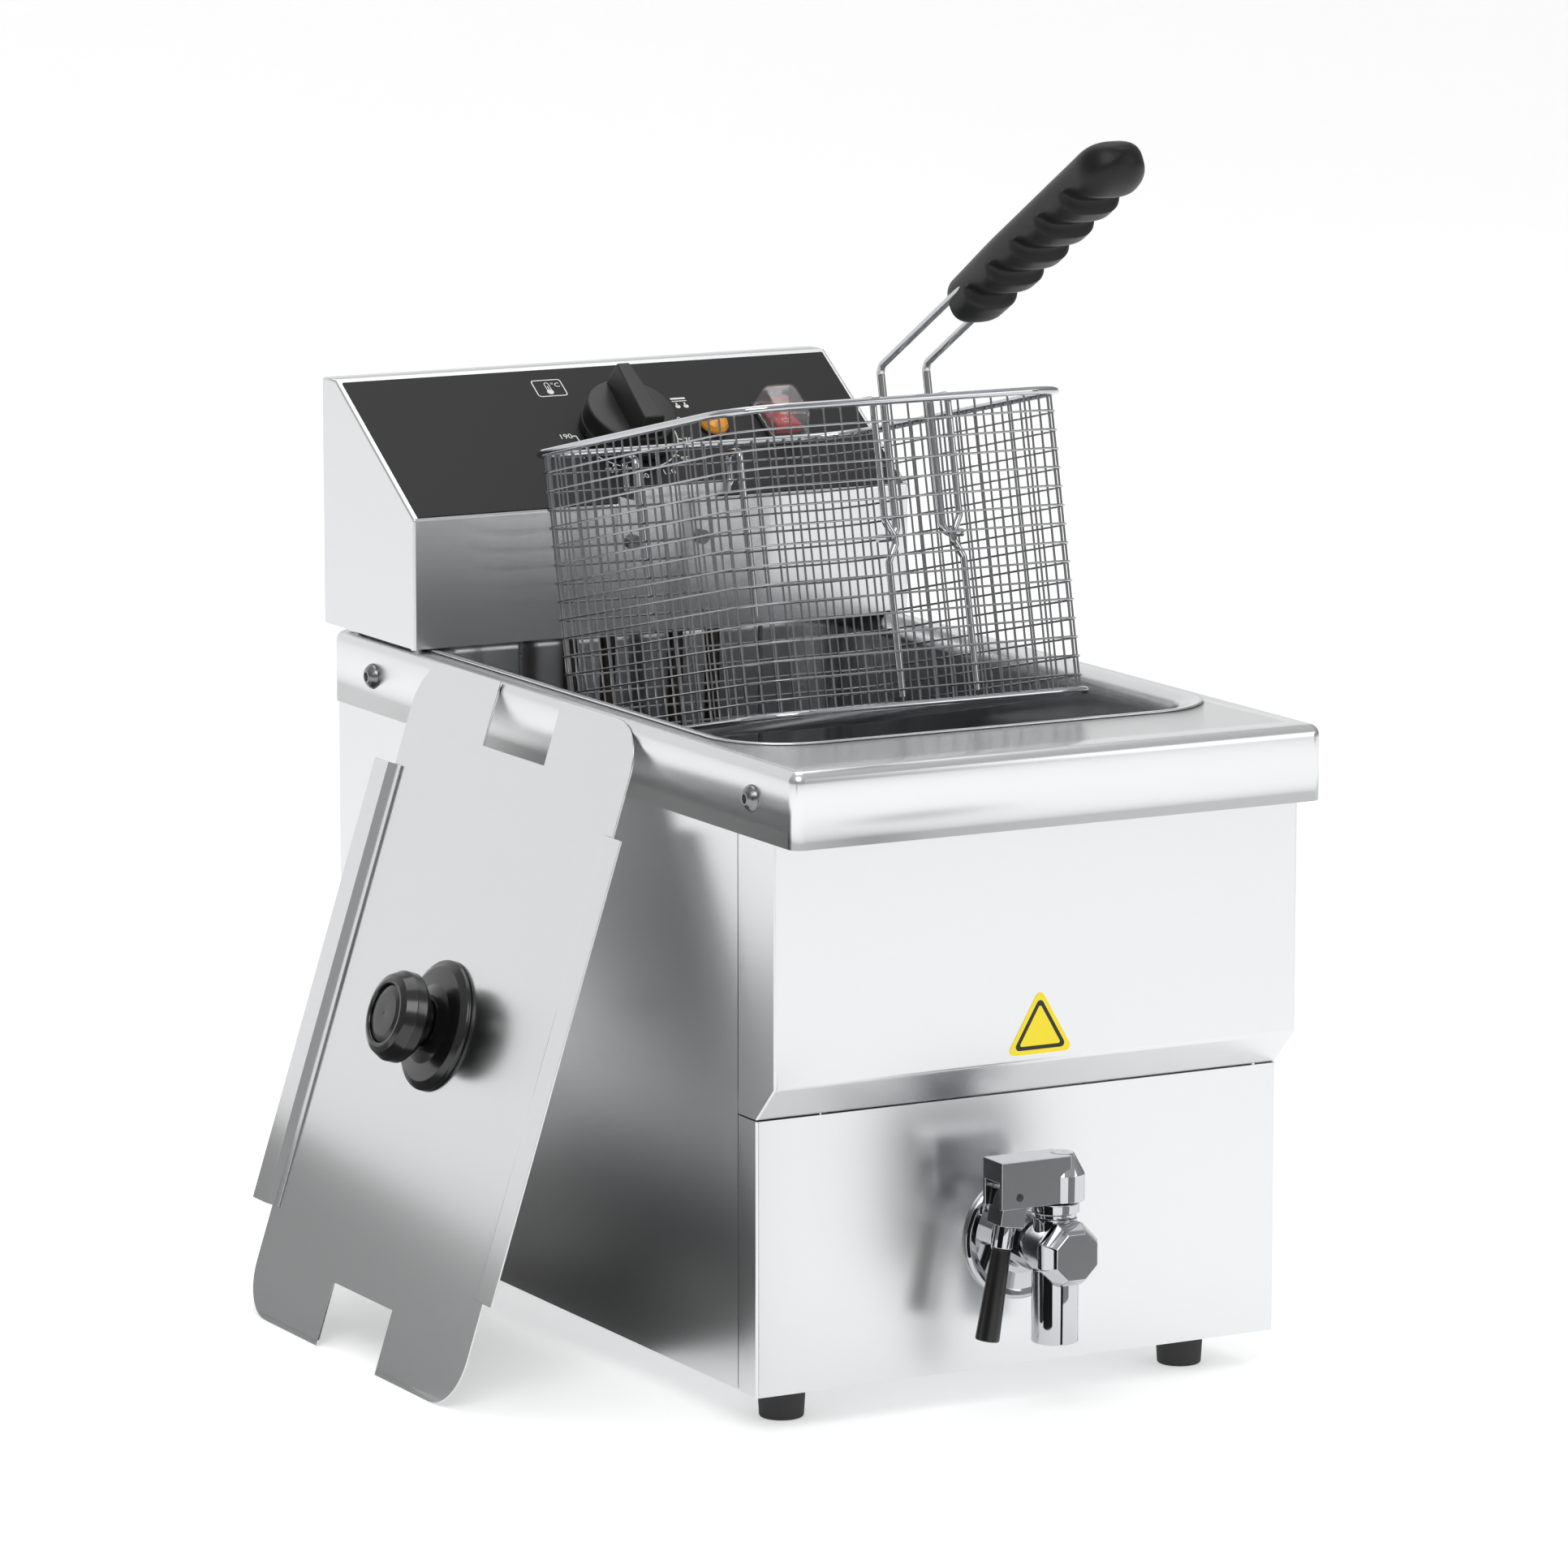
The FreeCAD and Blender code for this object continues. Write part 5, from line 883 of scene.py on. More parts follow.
def ribbon(points, width, closed=False):
    """A thin flat line on the face film, along a path in the slope's axes."""
    points = [Vector(p) for p in points]
    lift = Vector((0, 0, PRINT_THICKNESS))
    rings = []
    for index, point in enumerate(points):
        along = direction(points, index, closed)
        side = Vector((-along.y, along.x, 0)) * (width / 2)
        a, b = point + side, point - side
        rings.append([a, b, b + lift, a + lift])
    return skin(rings, closed=closed)


def disc(x, y, radius):
    """A small round dot of print."""
    return prism(circle(radius, 0, 20, x, y), (0, 0, PRINT_THICKNESS))


def lettering(text, x, y, height):
    """Print of a few figures, upright on the slope, middle at x and y."""
    curve = bpy.data.curves.new("lettering", "FONT")
    curve.body = text
    curve.size = height
    curve.align_x = "CENTER"
    curve.align_y = "CENTER"
    curve.extrude = PRINT_THICKNESS / 2
    curve.resolution_u = 3
    holder = link("lettering", curve)
    evaluated = holder.evaluated_get(bpy.context.evaluated_depsgraph_get())
    mesh = bpy.data.meshes.new_from_object(evaluated)
    vertices = [v.co + Vector((x, y, PRINT_THICKNESS / 2)) for v in mesh.vertices]
    faces = [tuple(p.vertices) for p in mesh.polygons]
    bpy.data.objects.remove(holder)
    return vertices, faces


PRINT_THICKNESS = 0.04
DIAL_RADIUS = 28.5
DIAL_LABEL_RADIUS = 34.5
DIAL_FIRST = 78.0            # degrees clockwise from the top, where the lowest heat stands
DIAL_LAST = 270.0
DIAL_HEATS = (50, 70, 90, 110, 130, 150, 170, 190)


def on_dial(angle, radius):
    """A point of the dial, by degrees clockwise from the top."""
    turn = math.radians(angle)
    return (radius * math.sin(turn), radius * math.cos(turn), 0)


def dial_print():
    """Arc, ticks and figures round the knob."""
    arc = [on_dial(DIAL_FIRST + (DIAL_LAST - DIAL_FIRST) * i / 60, DIAL_RADIUS) for i in range(61)]
    parts = [ribbon(arc, 0.7)]
    for index, heat in enumerate(DIAL_HEATS):
        angle = DIAL_FIRST + (DIAL_LAST - DIAL_FIRST) * index / (len(DIAL_HEATS) - 1)
        parts.append(ribbon([on_dial(angle, DIAL_RADIUS), on_dial(angle, DIAL_RADIUS + 2.4)], 0.8))
        x, y, _ = on_dial(angle, DIAL_LABEL_RADIUS)
        parts.append(lettering(str(heat), x, y, 5.2))
    parts.append(ribbon([on_dial(0, DIAL_RADIUS - 1.5), on_dial(0, DIAL_RADIUS + 2.5)], 0.8))
    x, y, _ = on_dial(0, DIAL_LABEL_RADIUS)
    parts.append(lettering("0", x, y, 5.2))
    return parts


def heat_sign():
    """A thermometer in a rounded frame, left of the knob."""
    x, y = -27.8, 38.4
    frame_line = rounded_path([(x - 8.3, y - 6.3, 0), (x + 8.3, y - 6.3, 0), (x + 8.3, y + 6.3, 0),
                               (x - 8.3, y + 6.3, 0)], 1.6, 5, True)
    stem = [(x - 1.7, y - 1.8, 0), (x - 1.7, y + 4.2, 0), (x + 0.7, y + 4.2, 0), (x + 0.7, y - 1.8, 0)]
    return [ribbon(frame_line, 0.6, True), ribbon(rounded_path(stem, 1.1), 0.4), disc(x - 0.5, y - 3.0, 1.9),
            ribbon([(x - 0.5, y - 2.8, 0), (x - 0.5, y + 1.6, 0)], 0.5),
            lettering("°C", x + 4.4, y + 2.0, 4.6)]


def lamp_sign():
    """A heater bar over two drops, between the knob and the lamp."""
    x, y = 41.0, 20.0
    drops = [disc(x + side * 2.4, y - 2.6, 1.4) for side in (-1, 1)]
    tips = [ribbon([(x + side * 2.4, y - 2.2, 0), (x + side * 2.4, y + 0.3, 0)], 0.9) for side in (-1, 1)]
    return drops + tips + [ribbon([(x - 4.3, y + 3.6, 0), (x + 4.3, y + 3.6, 0)], 1.3),
                           ribbon([(x - 4.3, y + 1.6, 0), (x + 4.3, y + 1.6, 0)], 0.6)]


def face_print():
    """All white print on the face film."""
    parts = dial_print() + heat_sign() + lamp_sign()
    place = slope_place() @ Matrix.Translation((0, 0, OVERLAY_TOP + 0.02))
    piece = build("face_print", joined(*parts), surface("print_white"), place)
    settle(piece, "head", "overlay_film")


def box_rings(levels, x, y, radius):
    """Rounded rectangles stacked up the slope's Z, from (half width, half length, height)."""
    rings = []
    for half_x, half_y, z in levels:
        ring = rounded_rectangle(half_x, -half_y, half_y, radius, z, 5)
        rings.append([p + Vector((x, y, 0)) for p in ring])
    return rings


def switch_pieces():
    """Bezel with its well, the red key with its mark, and the clear boot over them."""
    place = slope_place()
    levels = [(11.5, 15, 0.6), (11.5, 15, 2.0), (10.9, 14.4, 2.6), (7.5, 11.6, 2.6), (7.4, 11.5, -8),
              (9.5, 13, -8), (9.5, 13, 0.55)]
    well = skin(box_rings(levels, SWITCH_X, 0, 0.9), closed=True)
    back = skin(box_rings([(9.5, 13, -22), (9.5, 13, -8.05)], SWITCH_X, 0, 0.9))
    bezel = build("switch_bezel", joined(well, back), surface("moulded_black"), place)
    settle(bezel, "head", "black_plastic", "switch_housing")
    tilt = (place @ Matrix.Translation((0, 0, 0.5)) @ Matrix.Rotation(math.radians(-8), 4, "X")
            @ Matrix.Translation((0, 0, -0.5)))
    outline = rounded_path([(0, -10.25, 6.0), (0, 0, 4.3), (0, 10.25, 6.0), (0, 10.25, 0.5), (0, 5, -4.5),
                            (0, -5, -4.5), (0, -10.25, 0.5)], 1.0, 4, True)
    key = prism([p + Vector((SWITCH_X - 7, 0, 0)) for p in outline], (14, 0, 0))
    rocker = build("rocker_key", key, surface("rocker_red"), tilt, bevel=0.5)
    settle(rocker, "rocker", "rocker_red", "switch_rocker")
    ring = [(SWITCH_X + 1.9 * math.sin(a), -5.6 + 2.4 * math.cos(a), 0)
            for a in (2 * math.pi * i / 24 for i in range(24))]
    slant = math.atan2(1.7, 10.25)
    lay = (tilt @ Matrix.Translation((0, -5.6, 5.28)) @ Matrix.Rotation(-slant, 4, "X")
           @ Matrix.Translation((0, 5.6, 0)))
    mark = build("rocker_mark", ribbon(ring, 0.6, True), surface("print_white"), lay)
    settle(mark, "rocker", "rocker_red")
    base = 2.7
    outside = [(10.5, 14.0, base), (10.2, 13.6, base + 5), (9.6, 12.6, base + 11.5), (9.0, 11.7, base + 13.7),
               (6.0, 8.0, base + 14)]
    inside = [(5.5, 7.5, base + 13.2), (8.4, 11.1, base + 12.9), (8.9, 11.8, base + 11.2),
              (9.4, 12.8, base + 5), (9.7, 13.2, base)]
    crown = skin(box_rings(outside, SWITCH_X, 0, 3.0), cap_first=False)
    lining = skin(box_rings(inside, SWITCH_X, 0, 2.4), cap_last=False)
    rim = skin([box_rings(outside[:1], SWITCH_X, 0, 3.0)[0], box_rings(inside[-1:], SWITCH_X, 0, 2.4)[0]],
               False, False)
    boot = build("splash_boot", joined(crown, lining, rim), surface("clear_vinyl"), place)
    settle(boot, "head", "clear_boot", "switch_boot")


def lamp_piece():
    """Faceted amber lens on a thin black collar."""
    place = slope_place() @ Matrix.Translation((LAMP_X, 0, 0))
    outline = [(0.02, 1.1), (7.5, 1.1), (7.5, 3.0), (6.4, 5.4), (4.2, 7.3), (1.6, 8.1), (0.02, 8.1)]
    lens = build("lamp_lens", lathe(outline, 12), surface("amber_lens"), place, bevel=0.15)
    lens.data.shade_flat()
    settle(lens, "head", "amber_lens", "pilot_lamp_lens")
    collar = turned_outline([(6.2, 0.6), (8.4, 0.6), (8.0, 1.9), (7.6, 1.9), (7.6, 1.05), (6.2, 1.05)], 0.15)
    ring = build("lamp_collar", lathe(collar, 48), surface("moulded_black"), place)
    settle(ring, "head", "black_plastic")


def heat_knob():
    """Skirted knob with a raised wedge bar."""
    place = slope_place()
    low = 1.6
    top = low + 15.0
    outline = turned_outline([(3.1, low), (25, low), (25, low + 4.6), (24.4, low + 5.2), (23.8, top),
                              (3.1, top)], 1.3)
    skirt = lathe(outline, 96)
    piece = build("heat_knob_skirt", skirt, surface("moulded_black"), place)
    settle(piece, "knob", "black_plastic", "control_knob")
    rings = []
    for grow, z in ((2.4, top - 1.0), (1.1, top + 6.0), (0.0, low + 28.0)):
        ring = [(-(5.8 + grow), -21.5 - grow * 0.3, z), (5.8 + grow, -21.5 - grow * 0.3, z),
                (3.6 + grow, 22.0 + grow * 0.2, z), (-(3.6 + grow), 22.0 + grow * 0.2, z)]
        rings.append([Vector(p) for p in ring])
    bar = build("heat_knob_bar", skin(rings), surface("moulded_black"), place, bevel=0.9)
    settle(bar, "knob", "black_plastic", "control_knob")


# ------------------------------------------------------------ basket
WIRE_RADIUS = 0.55
FIRST_RING = 9.5
RING_GROWTH = 1.15
RIM_OFFSET = 2.6
RIM_RADIUS = 2.0
BASE_OFFSET = 2.35
BASE_RADIUS = 1.75


def basket_ring(grow, z):
    """A ring of the level basket, moved out from its upright wires."""
    return rounded_rectangle(BASKET_HALF + grow, BASKET_FRONT - grow, BASKET_FRONT + BASKET_DEPTH + grow,
                             BASKET_CORNER + grow, z, 10)


def loop_edges(count, start=0):
    """Edges that close a loop of points."""
    return [(start + i, start + (i + 1) % count) for i in range(count)]


def inset_at_corner(side, radius):
    """How far a round corner draws in its edge at a distance along the other edge."""
    if side >= radius:
        return 0.0
    return radius - math.sqrt(max(0.0, radius * radius - (radius - side) ** 2))


def floor_lines(pitch):
    """Ends of the crossed wires of the basket's floor."""
    gap = 1.6
    half = BASKET_HALF - gap
    corner = BASKET_CORNER - gap
    lines = []
    rows = int(BASKET_DEPTH / pitch)
    start = (BASKET_DEPTH - (rows - 1) * pitch) / 2
    for row in range(rows):
        along = start + row * pitch
        reach = half - inset_at_corner(min(along, BASKET_DEPTH - along) - gap, corner)
        y = BASKET_FRONT + along
        lines.append(((-reach, y, 0.6), (reach, y, 0.6)))
    columns = int(half / pitch)
    for column in range(-columns, columns + 1):
        x = column * pitch
        inset = gap + inset_at_corner(half - abs(x), corner)
        lines.append(((x, BASKET_FRONT + inset, 1.75), (x, BASKET_FRONT + BASKET_DEPTH - inset, 1.75)))
    return lines


def thick_curve(tree, curve, radius):
    """Nodes that give a curve a round section."""
    ring = add(tree, "GeometryNodeCurvePrimitiveCircle", {"Resolution": 8, "Radius": radius})
    return add(tree, "GeometryNodeCurveToMesh",
               {"Curve": curve, "Profile Curve": ring.outputs[0], "Fill Caps": True})


def upright_group():
    """Upright wires spaced evenly round an outline."""
    tree = node_group("upright_wires", {"Count": "Int", "Length": "Float", "Radius": "Float",
                                        "Material": "Material"})
    entry = add(tree, "NodeGroupInput")
    loop = add(tree, "GeometryNodeMeshToCurve", {0: entry.outputs["Geometry"]})
    spots = add(tree, "GeometryNodeResampleCurve", {0: loop.outputs[0], "Count": entry.outputs["Count"]})
    top = add(tree, "ShaderNodeCombineXYZ", {"Z": entry.outputs["Length"]})
    line = add(tree, "GeometryNodeCurvePrimitiveLine", {"End": top.outputs[0]})
    rod = thick_curve(tree, line.outputs[0], entry.outputs["Radius"])
    spread = add(tree, "GeometryNodeInstanceOnPoints",
                 {"Points": spots.outputs[0], "Instance": rod.outputs[0]})
    finish_group(tree, spread.outputs[0], entry)
    return tree


def stacked_group():
    """Copies of a round wire loop, one above the other."""
    tree = node_group("stacked_rings", {"Count": "Int", "Pitch": "Float", "Radius": "Float",
                                        "Material": "Material"})
    entry = add(tree, "NodeGroupInput")
    loop = add(tree, "GeometryNodeMeshToCurve", {0: entry.outputs["Geometry"]})
    ring = thick_curve(tree, loop.outputs[0], entry.outputs["Radius"])
    step = add(tree, "ShaderNodeCombineXYZ", {"Z": entry.outputs["Pitch"]})
    spots = add(tree, "GeometryNodeMeshLine", {"Count": entry.outputs["Count"], "Offset": step.outputs[0]})
    spread = add(tree, "GeometryNodeInstanceOnPoints",
                 {"Points": spots.outputs[0], "Instance": ring.outputs[0]})
    finish_group(tree, spread.outputs[0], entry)
    return tree


def line_group():
    """Round wires along every edge of a host."""
    tree = node_group("straight_wires", {"Radius": "Float", "Material": "Material"})
    entry = add(tree, "NodeGroupInput")
    lines = add(tree, "GeometryNodeMeshToCurve", {0: entry.outputs["Geometry"]})
    rods = thick_curve(tree, lines.outputs[0], entry.outputs["Radius"])
    finish_group(tree, rods.outputs[0], entry)
    return tree


def hang(piece):
    """Bake the basket's tilt and place into a piece made in its level axes."""
    place = basket_place()
    place.translation *= MM
    piece.data.transform(place)


def basket_wires():
    """The fine wires of the basket's sides and floor."""
    sizes = bpy.context.scene.fryer_sizes
    # the fine wires get chrome darkened as painted shade
    finish = surface("plated_wire")
    radius = sizes.wire * MM
    outline = basket_ring(0, 0.3)
    host = point_host("uprights", outline, loop_edges(len(outline)))
    uprights = baked("basket_upright_wires", host, upright_group(),
                     {"Count": sizes.uprights, "Length": BASKET_HEIGHT * MM, "Radius": radius,
                      "Material": finish})
    level = basket_ring(RING_GROWTH, FIRST_RING)
    host = point_host("rings", level, loop_edges(len(level)))
    rings = baked("basket_level_wires", host, stacked_group(),
                  {"Count": sizes.rings, "Pitch": sizes.pitch * MM, "Radius": radius, "Material": finish})
    lines = floor_lines(sizes.pitch)
    ends = [end for line in lines for end in line]
    host = point_host("floor", ends, [(2 * i, 2 * i + 1) for i in range(len(lines))])
    floor = baked("basket_floor_mesh", host, line_group(), {"Radius": radius, "Material": finish})
    for piece, node in ((uprights, "basket_uprights"), (rings, "basket_rings"),
                        (floor, "basket_floor_wires")):
        hang(piece)
        settle(piece, "basket", "basket_wire", node)


def basket_frame():
    """The thick wires at the basket's mouth and foot."""
    place = basket_place()
    rim = wire(basket_ring(RIM_OFFSET, BASKET_HEIGHT), RIM_RADIUS, 16, True)
    foot = wire(basket_ring(BASE_OFFSET, BASE_RADIUS), BASE_RADIUS, 16, True)
    for name, part, node in (("basket_rim_wire", rim, "basket_rim"),
                             ("basket_foot_wire", foot, "basket_base_frame")):
        piece = build(name, part, surface("chromed_wire"), place)
        settle(piece, "basket", "plated_steel", node)


SUPPORT_Y = BASKET_FRONT + WIRE_RADIUS + 1.75 + 0.05
HANDLE_Y = SUPPORT_Y + 1.75 + 0.05 + 2.0


def basket_supports():
    """One wire with a kink in each leg and a loop back at the rim."""
    y = SUPPORT_Y
    top = BASKET_HEIGHT + 1.5
    kink = BASKET_HEIGHT - 68.0
    half = 20.8
    narrow = half - 4.5
    leg = [(half, y, 6.0), (half, y, kink - 10), (narrow, y, kink - 2), (narrow, y, kink + 2),
           (half, y, kink + 10), (half, y, top), (half, y + 20.0, top)]
    points = [(HANDLE_X + a, b, c) for a, b, c in leg]
    points += [(HANDLE_X - a, b, c) for a, b, c in reversed(leg)]
    bent = wire(rounded_path(points, 3.0, 6), 1.75, 14)
    piece = build("handle_support_wire", bent, surface("chromed_wire"), basket_place())
    settle(piece, "basket", "plated_steel", "handle_supports")


def handle_rods():
    """Two bent wires from hooks inside the mesh up to the grip."""
    angle = math.radians(HANDLE_ANGLE)
    reach = HANDLE_WIRE + 20.0
    foot = BASKET_HEIGHT - 66.0
    top = BASKET_HEIGHT + HANDLE_RISE
    parts = []
    for side in (-1, 1):
        x = HANDLE_X + side * HANDLE_HALF
        points = [(x + side * 11.0, HANDLE_Y, foot), (x, HANDLE_Y, foot), (x, HANDLE_Y, top),
                  (x, HANDLE_Y - math.cos(angle) * reach, top + math.sin(angle) * reach)]
        parts.append(wire(rounded_path(points, 6.0, 8), 2.0, 16))
    piece = build("handle_rods", joined(*parts), surface("chromed_wire"), basket_place())
    settle(piece, "basket", "plated_steel", "handle_wires")


def rear_hook():
    """Wire hook behind the rim."""
    y = BASKET_FRONT + BASKET_DEPTH + 3 * WIRE_RADIUS + 2.0 + 0.1
    reach = y + 13.0
    top = BASKET_HEIGHT - 4.1
    leg = [(y, 60), (y, top), (reach, top), (reach, top - 16.0)]
    points = [(-30.0, a, b) for a, b in leg] + [(30.0, a, b) for a, b in reversed(leg)]
    piece = build("rear_hook_wire", wire(rounded_path(points, 3.0, 6), 2.0, 14), surface("chromed_wire"),
                  basket_place())
    settle(piece, "basket", "plated_steel", "basket_rear_hook")


GRIP_LENGTH = 166.0
GRIP_HALF = 16.5
GRIP_TOP = 10.8
GRIP_LOW = -13.2
GRIP_NOTCHES = 5
GRIP_NOTCH_START = 20.0
GRIP_NOTCH_END = 152.0
GRIP_NOTCH_DEPTH = 5.5


def smooth(value):
    """A soft step from 0 to 1."""
    value = min(1.0, max(0.0, value))
    return value * value * (3 - 2 * value)


def notch_depth(along):
    """How far a finger notch cuts into the grip's underside at a distance along it."""
    if not GRIP_NOTCH_START < along < GRIP_NOTCH_END:
        return 0.0
    pitch = (GRIP_NOTCH_END - GRIP_NOTCH_START) / GRIP_NOTCHES
    part = ((along - GRIP_NOTCH_START) % pitch) / pitch
    rise = smooth(part / 0.16)
    fall = 1 - smooth((part - 0.16) / 0.62)
    return GRIP_NOTCH_DEPTH * rise * fall


def grip_slice(along):
    """One ring of the grip, from its superellipse section, its domed ends and its notches."""
    near = min(1.0, along / 8.0)
    far = min(1.0, (GRIP_LENGTH - along) / 20.0)
    end = math.sqrt(max(0.0, 1 - (1 - near) ** 2) * 0.35 + 0.65) * math.sqrt(max(0.02, 1 - (1 - far) ** 2.4))
    middle = (GRIP_TOP + GRIP_LOW) / 2
    tall = (GRIP_TOP - GRIP_LOW) / 2
    wide = GRIP_HALF * (0.86 + 0.14 * smooth(along / 60.0))
    depth = notch_depth(along)
    ring = []
    for step in range(48):
        angle = 2 * math.pi * step / 48
        c = math.copysign(abs(math.cos(angle)) ** 0.72, math.cos(angle))
        s = math.copysign(abs(math.sin(angle)) ** 0.72, math.sin(angle))
        x = wide * end * c
        z = middle * (0.4 + 0.6 * far) + tall * end * s
        if s < 0:
            z += depth * smooth(-s * 1.3)
            x *= 1 - 0.05 * depth / GRIP_NOTCH_DEPTH * smooth(-s)
        ring.append(Vector((x, along, z)))
    return ring


def hand_grip():
    """Long satin grip with scalloped finger notches and a domed far end."""
    stations = [0.0, 0.8, 2.0, 4.0, 6.5, 10.0]
    stations += [10.0 + 146.0 * step / 150 for step in range(1, 150)]
    stations += [GRIP_LENGTH - 10.0 * (1 - step / 9) ** 1.6 for step in range(10)]
    rings = [grip_slice(along) for along in stations]
    rings[-1] = [Vector((p.x, GRIP_LENGTH, p.z)) for p in rings[-1]]
    angle = math.radians(HANDLE_ANGLE)
    along = Vector((0, -math.cos(angle), math.sin(angle)))
    up = Vector((0, math.sin(angle), math.cos(angle)))
    rows = Matrix((Vector((-1, 0, 0)), along, up)).transposed().to_4x4()
    foot = Vector((HANDLE_X, HANDLE_Y, BASKET_HEIGHT + HANDLE_RISE)) + along * HANDLE_WIRE
    place = basket_place() @ Matrix.Translation(foot) @ rows
    piece = build("hand_grip", skin(rings), surface("grip_nylon"), place)
    settle(piece, "basket", "grip_plastic", "handle_grip")


# ------------------------------------------------------------ lid
LID_NOTCH_HALF = 33.5
LID_NOTCH_DEPTH = 33.0
LID_STRIP_LENGTH = 232.0


def lid_outline():
    """The lid's outline: round corners and a notch at each end."""
    half = LID_WIDTH / 2
    ring = rounded_rectangle(half, 0, LID_LENGTH, LID_CORNER, 0, 10)
    steps = 11
    quarter = [ring[i * steps:(i + 1) * steps] for i in range(4)]
    far = LID_LENGTH - LID_NOTCH_DEPTH
    high = [(LID_NOTCH_HALF, LID_LENGTH), (LID_NOTCH_HALF, far), (-LID_NOTCH_HALF, far),
            (-LID_NOTCH_HALF, LID_LENGTH)]
    low = [(-LID_NOTCH_HALF, 0), (-LID_NOTCH_HALF, LID_NOTCH_DEPTH), (LID_NOTCH_HALF, LID_NOTCH_DEPTH),
           (LID_NOTCH_HALF, 0)]
    points = quarter[0] + quarter[1]
    points += [Vector((x, y, 0)) for x, y in high]
    points += quarter[2] + quarter[3]
    points += [Vector((x, y, 0)) for x, y in low]
    return points


def lid_sheet():
    """The lid's flat sheet with a hair-fine softened edge."""
    sheet = prism(lid_outline(), (0, 0, -SHEET))
    piece = build("lid_sheet", sheet, surface("lid_stainless"), lid_place(), bevel=0.25, segments=2)
    settle(piece, "lid", "lid_steel", "lid_plate")


def lid_strips():
    """Stepped strips along both sides, with round folds."""
    y0 = (LID_LENGTH - LID_STRIP_LENGTH) / 2
    half = LID_WIDTH / 2
    profile = rounded_path([(half - 9, 0, 0.6), (half - 3.4, 0, 0.6), (half - 0.6, 0, 3.4),
                            (half + 15.7, 0, 3.4)], 1.6, 6)
    parts = []
    for side in (-1, 1):
        lower = [Vector((side * p.x, y0, p.z - 0.5)) for p in profile]
        upper = [Vector((side * p.x, y0, p.z + 0.5)) for p in reversed(profile)]
        parts.append(prism(lower + upper, (0, LID_STRIP_LENGTH, 0)))
    piece = build("lid_strips", joined(*parts), surface("lid_stainless"), lid_place(), bevel=0.2, segments=2)
    settle(piece, "lid", "lid_steel", "lid_side_strips")


def lid_knob_pieces():
    """Flared foot, round knob on its neck and the cap in the knob's face."""
    place = lid_place() @ Matrix.Translation((0, LID_LENGTH / 2, 0))
    foot = turned_outline([(2.6, 0.05), (33, 0.05), (33, 2.2), (29, 4.6), (20, 5.6), (14.5, 8.5), (2.6, 8.5)],
                          1.6, 6)
    knob = turned_outline([(2.6, 8.65), (12, 8.65), (12.3, 13), (19, 15.2), (22.8, 19), (22.8, 24.5),
                           (20, 29.6), (17, 31), (14.8, 31), (14.8, 28.1), (2.6, 28.1)], 1.4, 6)
    cap = turned_outline([(0.02, 28.2), (14.6, 28.2), (14.6, 29.6), (11, 30.5), (0.02, 30.8)], 0.7, 5)
    for name, outline, node in (("lid_knob_foot", foot, "lid_knob_base"), ("lid_knob_head", knob, "lid_knob"),
                                ("lid_knob_face", cap, "lid_knob_cap")):
        piece = build(name, lathe(outline, 96), surface("polished_phenolic"), place)
        settle(piece, "lid", "black_plastic", node)


# ------------------------------------------------------------ stage
CAMERA_PLACE = (-1.8803, -3.4376, 0.9552)
CAMERA_DOWN = 9.897          # degrees below level
CAMERA_TURN = 28.49          # degrees round from the front, to the left
LENS = 182.59                # mm, on a sensor of 36 mm
SENSOR = 36.0


def add_camera():
    """The camera, level across, looking down on the front left corner."""
    camera = bpy.data.objects.new("camera", bpy.data.cameras.new("camera"))
    bpy.context.scene.collection.objects.link(camera)
    camera.data.sensor_width = SENSOR
    camera.data.lens = LENS
    camera.location = CAMERA_PLACE
    camera.rotation_euler = (math.radians(90 - CAMERA_DOWN), 0, math.radians(-CAMERA_TURN))
    bpy.context.scene.camera = camera
    bpy.context.scene.view_settings.view_transform = "Standard"


def add_light(name, place, target, size, power):
    """A large soft panel of light."""
    lamp = bpy.data.lights.new(name, "AREA")
    lamp.shape = "RECTANGLE"
    lamp.size, lamp.size_y = size
    lamp.energy = power
    lamp_object = bpy.data.objects.new(name, lamp)
    bpy.context.scene.collection.objects.link(lamp_object)
    lamp_object.location = place
    lamp_object.rotation_euler = (Vector(place) - Vector(target)).to_track_quat("Z", "Y").to_euler()


def add_flag(name, place, target, size, tone):
    """A card that only reflections see, to give the metal its lines and shades."""
    half_x, half_y = size[0] / 2, size[1] / 2
    turn = (Vector(place) - Vector(target)).to_track_quat("Z", "Y").to_matrix().to_4x4()
    card = [(-half_x, -half_y, 0), (half_x, -half_y, 0), (half_x, half_y, 0), (-half_x, half_y, 0)]
    part = ([Vector(p) / MM for p in card], [(0, 1, 2, 3)])
    finish = textured("card" + tone, linear(tone), shade(linear(tone), 0.9), (0.9, 1.0), (90, 90, 90), 0.001)
    spot = Matrix.Translation(Vector(place) / MM) @ turn
    flag = build(name, part, finish, spot)
    flag.visible_camera = False
    flag.visible_diffuse = False
    flag.visible_shadow = False
    flag.visible_transmission = False


